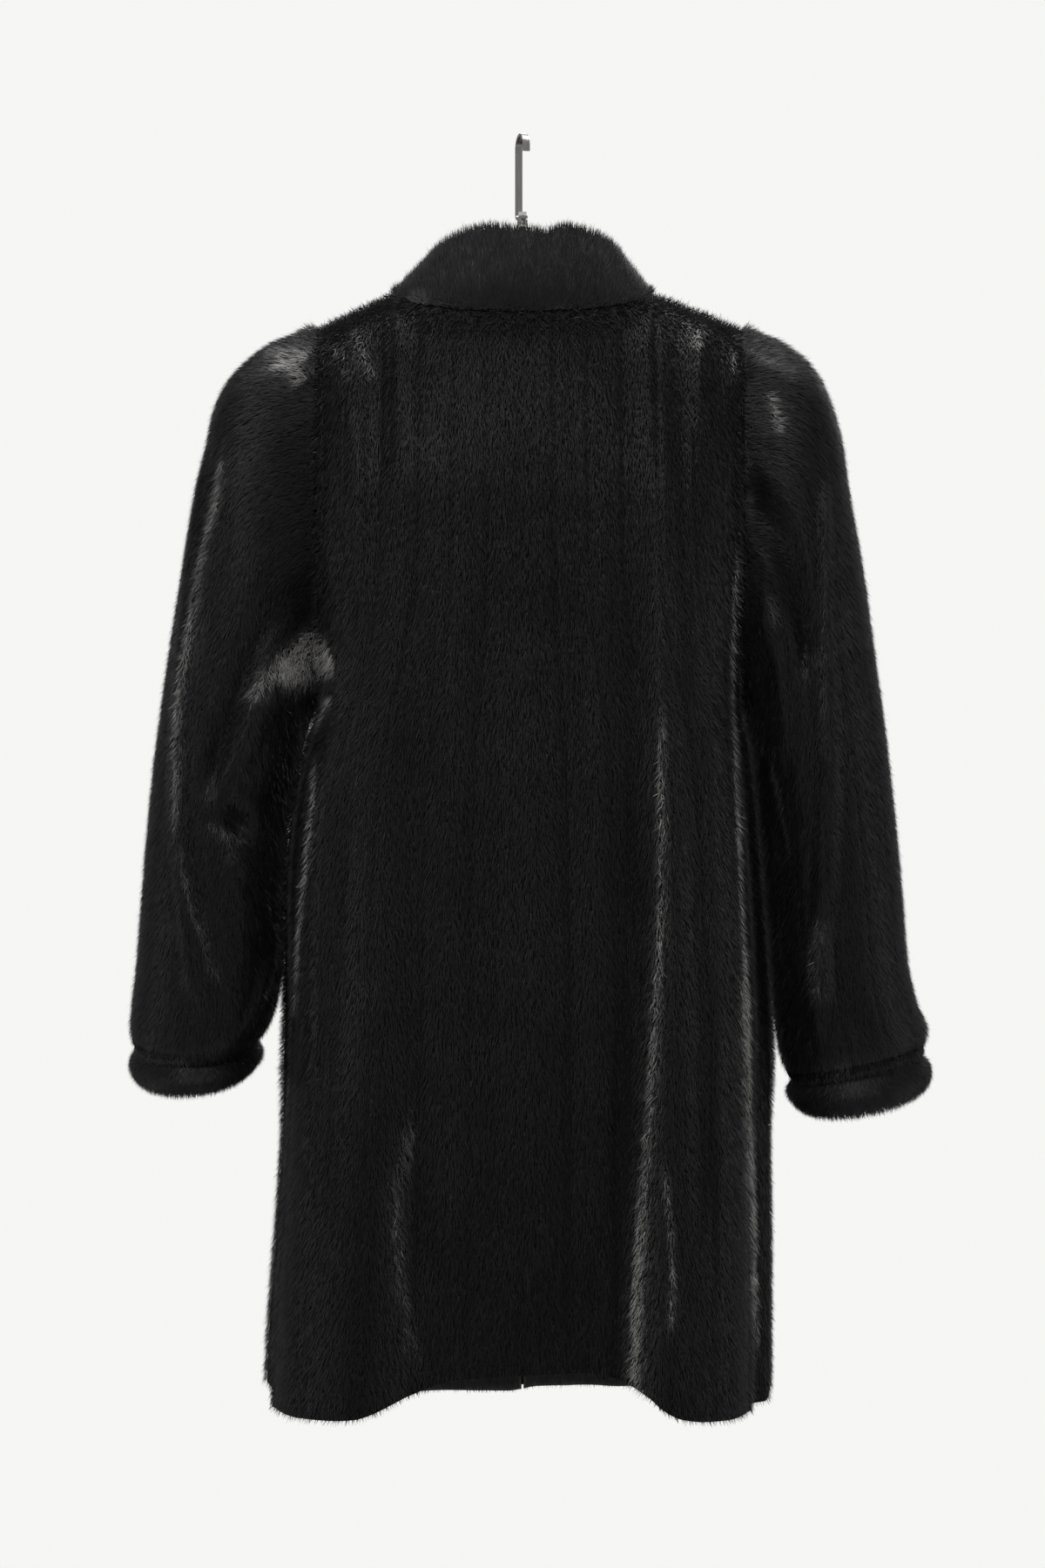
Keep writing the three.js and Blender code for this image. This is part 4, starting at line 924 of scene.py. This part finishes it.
def fur_material():
    look = Look("fur_hair")
    fur_tone_and_painted_light = look.nodes.new("ShaderNodeAttribute")
    fur_tone_and_painted_light.attribute_name = "fur_tone_and_painted_light"
    patch = look.texture("ShaderNodeTexNoise", look.place(), Scale=9, Detail=4)
    both = look.nodes.new("ShaderNodeMath")
    both.operation = "ADD"
    look.link(fur_tone_and_painted_light.outputs["Fac"], both.inputs[0])
    look.link(look.ranged(patch.outputs["Fac"], -0.08, 0.08), both.inputs[1])
    # Plain fur has tones up to 0.5, lower where shade is painted in, and above 0.5 the colour is a painted
    # highlight, up to a light grey.
    look.colour(
        both.outputs[0], (0.02, 0.003, 0.0028, 0.003), (0.5, 0.028, 0.027, 0.0275),
        (0.8, 0.15, 0.147, 0.146), (1, 0.5, 0.49, 0.475),
    )
    look.roughness(fur_tone_and_painted_light.outputs["Fac"], 0.46, 0.3)
    look.plain(Specular_IOR_Level=0.3, Sheen_Weight=0.3, Sheen_Roughness=0.32, Sheen_Tint=(0.93, 0.95, 1, 1))
    return look.material


def hide_material():
    look = Look("fur_under")
    noise = look.texture("ShaderNodeTexNoise", look.place(), Scale=420, Detail=3)
    look.colour(noise.outputs["Fac"], (0, 0.002, 0.002, 0.002), (1, 0.01, 0.009, 0.009))
    look.bump(noise.outputs["Fac"], 0.6, 0.001)
    look.plain(Roughness=0.8, Specular_IOR_Level=0.1)
    return look.material


def lining_material():
    look = Look("lining_satin")
    place = look.place()
    noise = look.texture("ShaderNodeTexNoise", place, Scale=26, Detail=5)
    threads = look.texture("ShaderNodeTexWave", place, Scale=620, Distortion=1.5, Detail=2)
    threads.bands_direction = "Z"
    look.colour(noise.outputs["Fac"], (0, 0.006, 0.0055, 0.006), (1, 0.02, 0.017, 0.018))
    look.roughness(threads.outputs["Fac"], 0.3, 0.45)
    look.bump(threads.outputs["Fac"], 0.25, 0.0006)
    return look.material


def steel_material():
    look = Look("hook_steel")
    noise = look.texture("ShaderNodeTexNoise", look.place((900, 900, 60)), Scale=1, Detail=4)
    look.colour(noise.outputs["Fac"], (0, 0.42, 0.41, 0.39), (1, 0.66, 0.65, 0.62))
    look.roughness(noise.outputs["Fac"], 0.2, 0.36)
    look.plain(Metallic=1)
    return look.material


def wood_material():
    look = Look("hanger_wood")
    place = look.place((7, 60, 60))
    grain = look.texture("ShaderNodeTexNoise", place, Scale=2.2, Detail=8, Distortion=0.8)
    look.colour(grain.outputs["Fac"], (0.35, 0.15, 0.07, 0.03), (0.68, 0.36, 0.2, 0.1))
    look.roughness(grain.outputs["Fac"], 0.28, 0.5)
    look.bump(grain.outputs["Fac"], 0.2, 0.0004)
    return look.material


def floor_material():
    look = Look("floor_pale")
    noise = look.texture("ShaderNodeTexNoise", None, Scale=3)
    look.colour(noise.outputs["Fac"], (0, 0.74, 0.74, 0.72), (1, 0.8, 0.8, 0.78))
    look.plain(Roughness=0.7)
    return look.material


HAIR = fur_material()
HIDE = hide_material()
LINING = lining_material()
STEEL = steel_material()
WOOD = wood_material()


# The garment


NEAR_MIDDLE = 20  # a panel's edge that ends nearer the middle than this is a front's closing edge


def body_seams(points, normals):
    """Keeps a body panel's wall on its own side of its seams."""
    armhole = points[:, :, 2] > ARMHOLE_PIT
    for j in (0, -1):
        if abs(points[-1, j, 0]) < NEAR_MIDDLE:
            normals[:, j, 0] = 0
            continue
        normals[:, j, 1] = np.where(armhole[:, j], np.sign(points[:, j, 1]), 0)
        normals[:, j, 0] = np.where(armhole[:, j], 0, normals[:, j, 0])
    seam = np.abs(points[-1, :, 0]) > NECK_HALF - 0.5
    normals[-1, seam, 1] = 0
    normals[-1, seam, 2] = np.maximum(normals[-1, seam, 2], 0.05)


def sleeve_seams(points, normals):
    """The same for a sleeve's wall at the armhole."""
    normals[0, :, 0] = 0


EDGE_SHARE = 0.0008  # where each front begins, as a share of the way round to its side seam
PANELS = {
    "back": body_panel(-1, -1, 1, 241, 331, 1, FREE_EDGE),
    "front_left": body_panel(1, -EDGE_SHARE, -1, 141, 331, 1, FREE_EDGE),
    "front_right": body_panel(1, EDGE_SHARE, 1, 141, 331, -1, FREE_EDGE),
    "sleeve_left": sleeve_panel(-1, 220, 260),
    "sleeve_right": sleeve_panel(1, 220, 260),
    "cuff_left": cuff_panel(-1, 220, 24, 0.2),
    "cuff_right": cuff_panel(1, 220, 24, 0.2),
    "collar": collar_panel(241, 40),
}
BODY_PANELS = ("back", "front_left", "front_right")
FLATTEN = dict.fromkeys(BODY_PANELS, body_seams)
FLATTEN |= dict.fromkeys(("sleeve_left", "sleeve_right"), sleeve_seams)
# How many of a panel's rows and columns each cell of its wall spans
STEPS = dict.fromkeys(BODY_PANELS, (6, 4))
STEPS |= dict.fromkeys(("sleeve_left", "sleeve_right"), (6, 5))
STEPS |= {"cuff_left": (4, 5), "cuff_right": (4, 5), "collar": (5, 4)}
# Locks of fur on each panel, and folded in at its hem
FUR_COUNTS = {
    "back": 196000, "front_left": 112000, "front_right": 112000, "sleeve_left": 158000,
    "sleeve_right": 158000, "cuff_left": 30000, "cuff_right": 30000, "collar": 60000,
    "collar_inner": 30000,
}
HEM_COUNTS = {"back": 16000, "front_left": 10000, "front_right": 10000}
# A lock's length and width, its lift in degrees, and the share of stray locks
FUR = (7.2, 0.54, 25, 0.06)
COLLAR_FUR = (8.4, 0.6, 33, 0.2)

for number, (name, panel) in enumerate(PANELS.items()):
    is_collar = name == "collar"
    thick = COLLAR_WALL - SINK if is_collar else WALL
    backing = HIDE if is_collar else LINING
    kind = COLLAR_FUR if is_collar else FUR
    hide = shell(f"{name}_hide", panel, thick, STEPS[name], [HIDE, backing], FLATTEN.get(name))
    piles = [fur(f"{name}_fur", panel, FUR_COUNTS[name], *kind, 11 + 10 * number, HAIR)]
    if name in HEM_COUNTS:
        folded_in = hem_facing(panel, HEM_ROWS)
        piles.append(fur(f"{name}_hem_fur", folded_in, HEM_COUNTS[name], *FUR, 60 + number, HAIR))
    if is_collar:
        inner = inside_of(panel, COLLAR_WALL)
        piles.append(fur("collar_inner_fur", inner, FUR_COUNTS["collar_inner"], *FUR, 7, HAIR))
    for piece in [hide, *piles]:
        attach(piece, "root")
    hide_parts(name)


# The seams

STRIP_HALF, STRIP_DEEP, STRIP_THICK = 4, 3.5, 2.5  # a sewn strip's half width, depth and thickness
TURNS = 72


def sewn_strip(way, inward, across, closed):
    """The corners and faces of a thin strip along a seam."""
    inward = unit(np.broadcast_to(inward, way.shape))
    across = unit(np.broadcast_to(across, way.shape)) * STRIP_HALF
    near, far = way + inward * STRIP_DEEP, way + inward * (STRIP_DEEP + STRIP_THICK)
    points = np.stack([near - across, near + across, far + across, far - across], 1).reshape(-1, 3)
    index = np.arange(len(points)).reshape(len(way), 4)
    index = wrapped(index)
    if closed:
        index = np.concatenate([index, index[:1]])
    a, b, c, d = cells(index)
    faces = [np.stack([a, d, c, b], 1)]
    if not closed:
        faces.append(np.array([index[0, :4], index[-1, 3::-1]]))
    return points, np.concatenate(faces)


def sewn_seams():
    """One mesh of strips sewn across the seams inside the walls, which close the gaps between panels."""
    strips = []
    back, front = PANELS["back"], PANELS["front_left"]
    skirt = slice(6, int(np.argmin(np.abs(back.points[:, 0, 2] - ARMHOLE_PIT))), 8)
    for column, side in ((0, -1), (-1, 1)):
        strips.append(sewn_strip(back.points[skirt, column], (-side, 0, 0), (0, 1, 0), False))
    middle = front.points[1:-6:6, 0] * [0, 1, 1]
    strips.append(sewn_strip(middle, (0, -1, 0), (1, 0, 0), False))
    for tip in (ARMHOLE_LEFT, ARMHOLE_RIGHT):
        x = np.linspace(math.copysign(NECK_HALF + 2, tip), tip * 0.98, 12)
        strips.append(sewn_strip(top_point(1, x), (0, 0, -1), (0, 1, 0), False))
    turn = np.linspace(0, 360, TURNS, endpoint=False)
    for rings in (LEFT_SLEEVE, RIGHT_SLEEVE):
        for ring in (0, 15):
            way = sleeve_points(rings, turn, np.full(TURNS, float(ring)), 0 * turn)
            before = sleeve_points(rings, turn, np.full(TURNS, ring - 1 if ring else 1.0), 0 * turn)
            along = (1, 0, 0) if ring == 0 else unit((way - before).mean(0))
            strips.append(sewn_strip(way, way.mean(0) - way, along, True))
    neck = collar_points(np.linspace(-178, 178, 90), np.zeros(90))
    strips.append(sewn_strip(neck, -neck * [1, 1, 0], (0, 0, 1), False))
    starts = np.cumsum([0] + [len(points) for points, _ in strips])
    points = np.concatenate([corners for corners, _ in strips])
    faces = np.concatenate([quads + start for (_, quads), start in zip(strips, starts)])
    return make_mesh("sewn_seams", points, faces, [HIDE], smooth=False)


seams = sewn_seams()
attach(seams, "root")

# The hanger

BOW = table("x z high deep", [
    (0, -86, 12, 7), (16, -92, 11.5, 7), (42, -117, 10.5, 7), (72, -140, 9, 7), (103, -148.6, 9, 8),
    (125, -157.9, 9, 11), (148, -168, 9, 14), (160, -173, 8, 14), (163, -175, 3, 8),
])


BOW_SQUARE, BOW_SLACK = 2.6, 0.985  # how boxy the bow's section is, and its size beside the solid


def bow(steps, sides):
    """The bow as one smooth bar, of rings from its left tip to its right."""
    share = np.linspace(-1, 1, steps)[:, None]
    turn = np.linspace(0, 2 * math.pi, sides, endpoint=False)[None, :]
    r = row_at(BOW, np.abs(share) * (len(BOW["x"]) - 1))
    c, s = squared(np.cos(turn), BOW_SQUARE), squared(np.sin(turn), BOW_SQUARE)
    x = np.sign(share) * r["x"] + 0 * c
    points = np.stack([x, r["deep"] * c * BOW_SLACK, r["z"] + r["high"] * s * BOW_SLACK], -1)
    index = np.arange(steps * sides).reshape(steps, sides)
    index = wrapped(index)
    a, b, c, d = cells(index)
    faces = np.stack([a, b, c, d], 1)
    caps = []
    centre = steps * sides
    for ring, tip in ((index[0][::-1], centre), (index[-1], centre + 1)):
        caps.append(np.stack([ring[:-1], ring[1:], np.full(sides, tip)], 1))
    all_points = np.concatenate([points.reshape(-1, 3), points[[0, -1]].mean(1)])
    triangles = np.concatenate([faces[:, [0, 1, 2]], faces[:, [0, 2, 3]], *caps])
    return make_mesh("hanger_wood_bow", all_points, triangles, [WOOD])


wood_bow = bow(97, 28)
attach(wood_bow, "root")
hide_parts("hanger_bow")


def lathe(name, profile, sides, material):
    """A round piece about the hook's axis, from (radius, height) pairs from top to bottom."""
    turn = np.linspace(0, 2 * math.pi, sides, endpoint=False)
    rings = np.array([[(r * math.cos(a), r * math.sin(a), z) for a in turn] for r, z in profile])
    index = np.arange(len(profile) * sides).reshape(len(profile), sides)
    index = wrapped(index)
    a, b, c, d = cells(index)
    return make_mesh(name, rings.reshape(-1, 3), np.stack([a, d, c, b], 1), [material])


FERRULE_TOP, FERRULE_BOTTOM = -66.7, -73.7
THREADS, PITCH = 5, 0.95
profile = [(0.01, FERRULE_TOP), (3.7, FERRULE_TOP)]
for k in range(THREADS):
    top = FERRULE_TOP - 0.1 - k * PITCH
    profile += [(3.8, top), (4.35, top - 0.25), (4.35, top - 0.5), (3.8, top - 0.78)]
profile += [(4.3, -71.9), (4.48, -72.2), (4.48, -73.4), (4.2, FERRULE_BOTTOM), (0.01, FERRULE_BOTTOM)]
ferrule = lathe("hanger_threaded_ferrule", profile, 40, STEEL)
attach(ferrule, "root")
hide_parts("hanger_ferrule")

for name in ("hanger_hook", "hanger_nut"):
    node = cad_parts[name]
    for slot in node.material_slots:
        slot.material = STEEL
    edge = node.modifiers.new("soft_edges", "BEVEL")
    edge.width = 0.0004
    edge.segments = 2
    edge.limit_method = "ANGLE"

# The studio

scene = bpy.context.scene
world = bpy.data.worlds.new("studio")
scene.world = world
world.use_nodes = True
nodes, links = world.node_tree.nodes, world.node_tree.links
background = nodes["Background"]
background.inputs["Color"].default_value = (0.92, 0.92, 0.905, 1)
background.inputs["Strength"].default_value = 1.0
fill = nodes.new("ShaderNodeBackground")
fill.inputs["Color"].default_value = (0.92, 0.92, 0.92, 1)
fill.inputs["Strength"].default_value = 0.26
path = nodes.new("ShaderNodeLightPath")
either = nodes.new("ShaderNodeMixShader")
links.new(path.outputs["Is Camera Ray"], either.inputs["Fac"])
links.new(fill.outputs[0], either.inputs[1])
links.new(background.outputs[0], either.inputs[2])
links.new(either.outputs[0], nodes["World Output"].inputs["Surface"])

FLOOR_HALF, FLOOR_FRONT, FLOOR_BACK, FLOOR_Z = 2200, -2200, 1400, -1750
floor_corners = [
    (-FLOOR_HALF, FLOOR_FRONT, FLOOR_Z), (FLOOR_HALF, FLOOR_FRONT, FLOOR_Z),
    (FLOOR_HALF, FLOOR_BACK, FLOOR_Z), (-FLOOR_HALF, FLOOR_BACK, FLOOR_Z),
]
floor = make_mesh("floor", floor_corners, [(0, 1, 2, 3)], [floor_material()])


def area_light(name, place, aim, size, power):
    data = bpy.data.lights.new(name, "AREA")
    data.shape = "RECTANGLE"
    data.size, data.size_y = size
    data.energy = power
    light = bpy.data.objects.new(name, data)
    light.location = place
    light.rotation_euler = (Vector(aim) - Vector(place)).to_track_quat("-Z", "Y").to_euler()
    light.visible_camera = False
    scene.collection.objects.link(light)


area_light("side_left", (-2.2, -0.7, -0.3), (0, 0, -0.5), (1.2, 2.0), 7)
area_light("side_right", (2.2, -0.7, -0.3), (0, 0, -0.5), (1.2, 2.0), 7)
area_light("above", (0, 0.1, 1.7), (0, 0, -0.3), (2.0, 0.9), 26)
area_light("key", (-0.5, -2.0, 1.4), (0, 0, -0.3), (1.8, 1.0), 20)
area_light("fill_front", (0.8, 2.3, 1.0), (0, 0, -0.45), (1.8, 1.4), 26)

lens = bpy.data.cameras.new("camera")
lens.sensor_width = 36
lens.lens = 85.67
lens.clip_end = 50
camera = bpy.data.objects.new("camera", lens)
camera.location = (0, -3.0, -0.5204)
camera.rotation_euler = (math.pi / 2, 0, 0)
scene.collection.objects.link(camera)
scene.camera = camera
scene.view_settings.view_transform = "Standard"
scene.view_settings.look = "None"
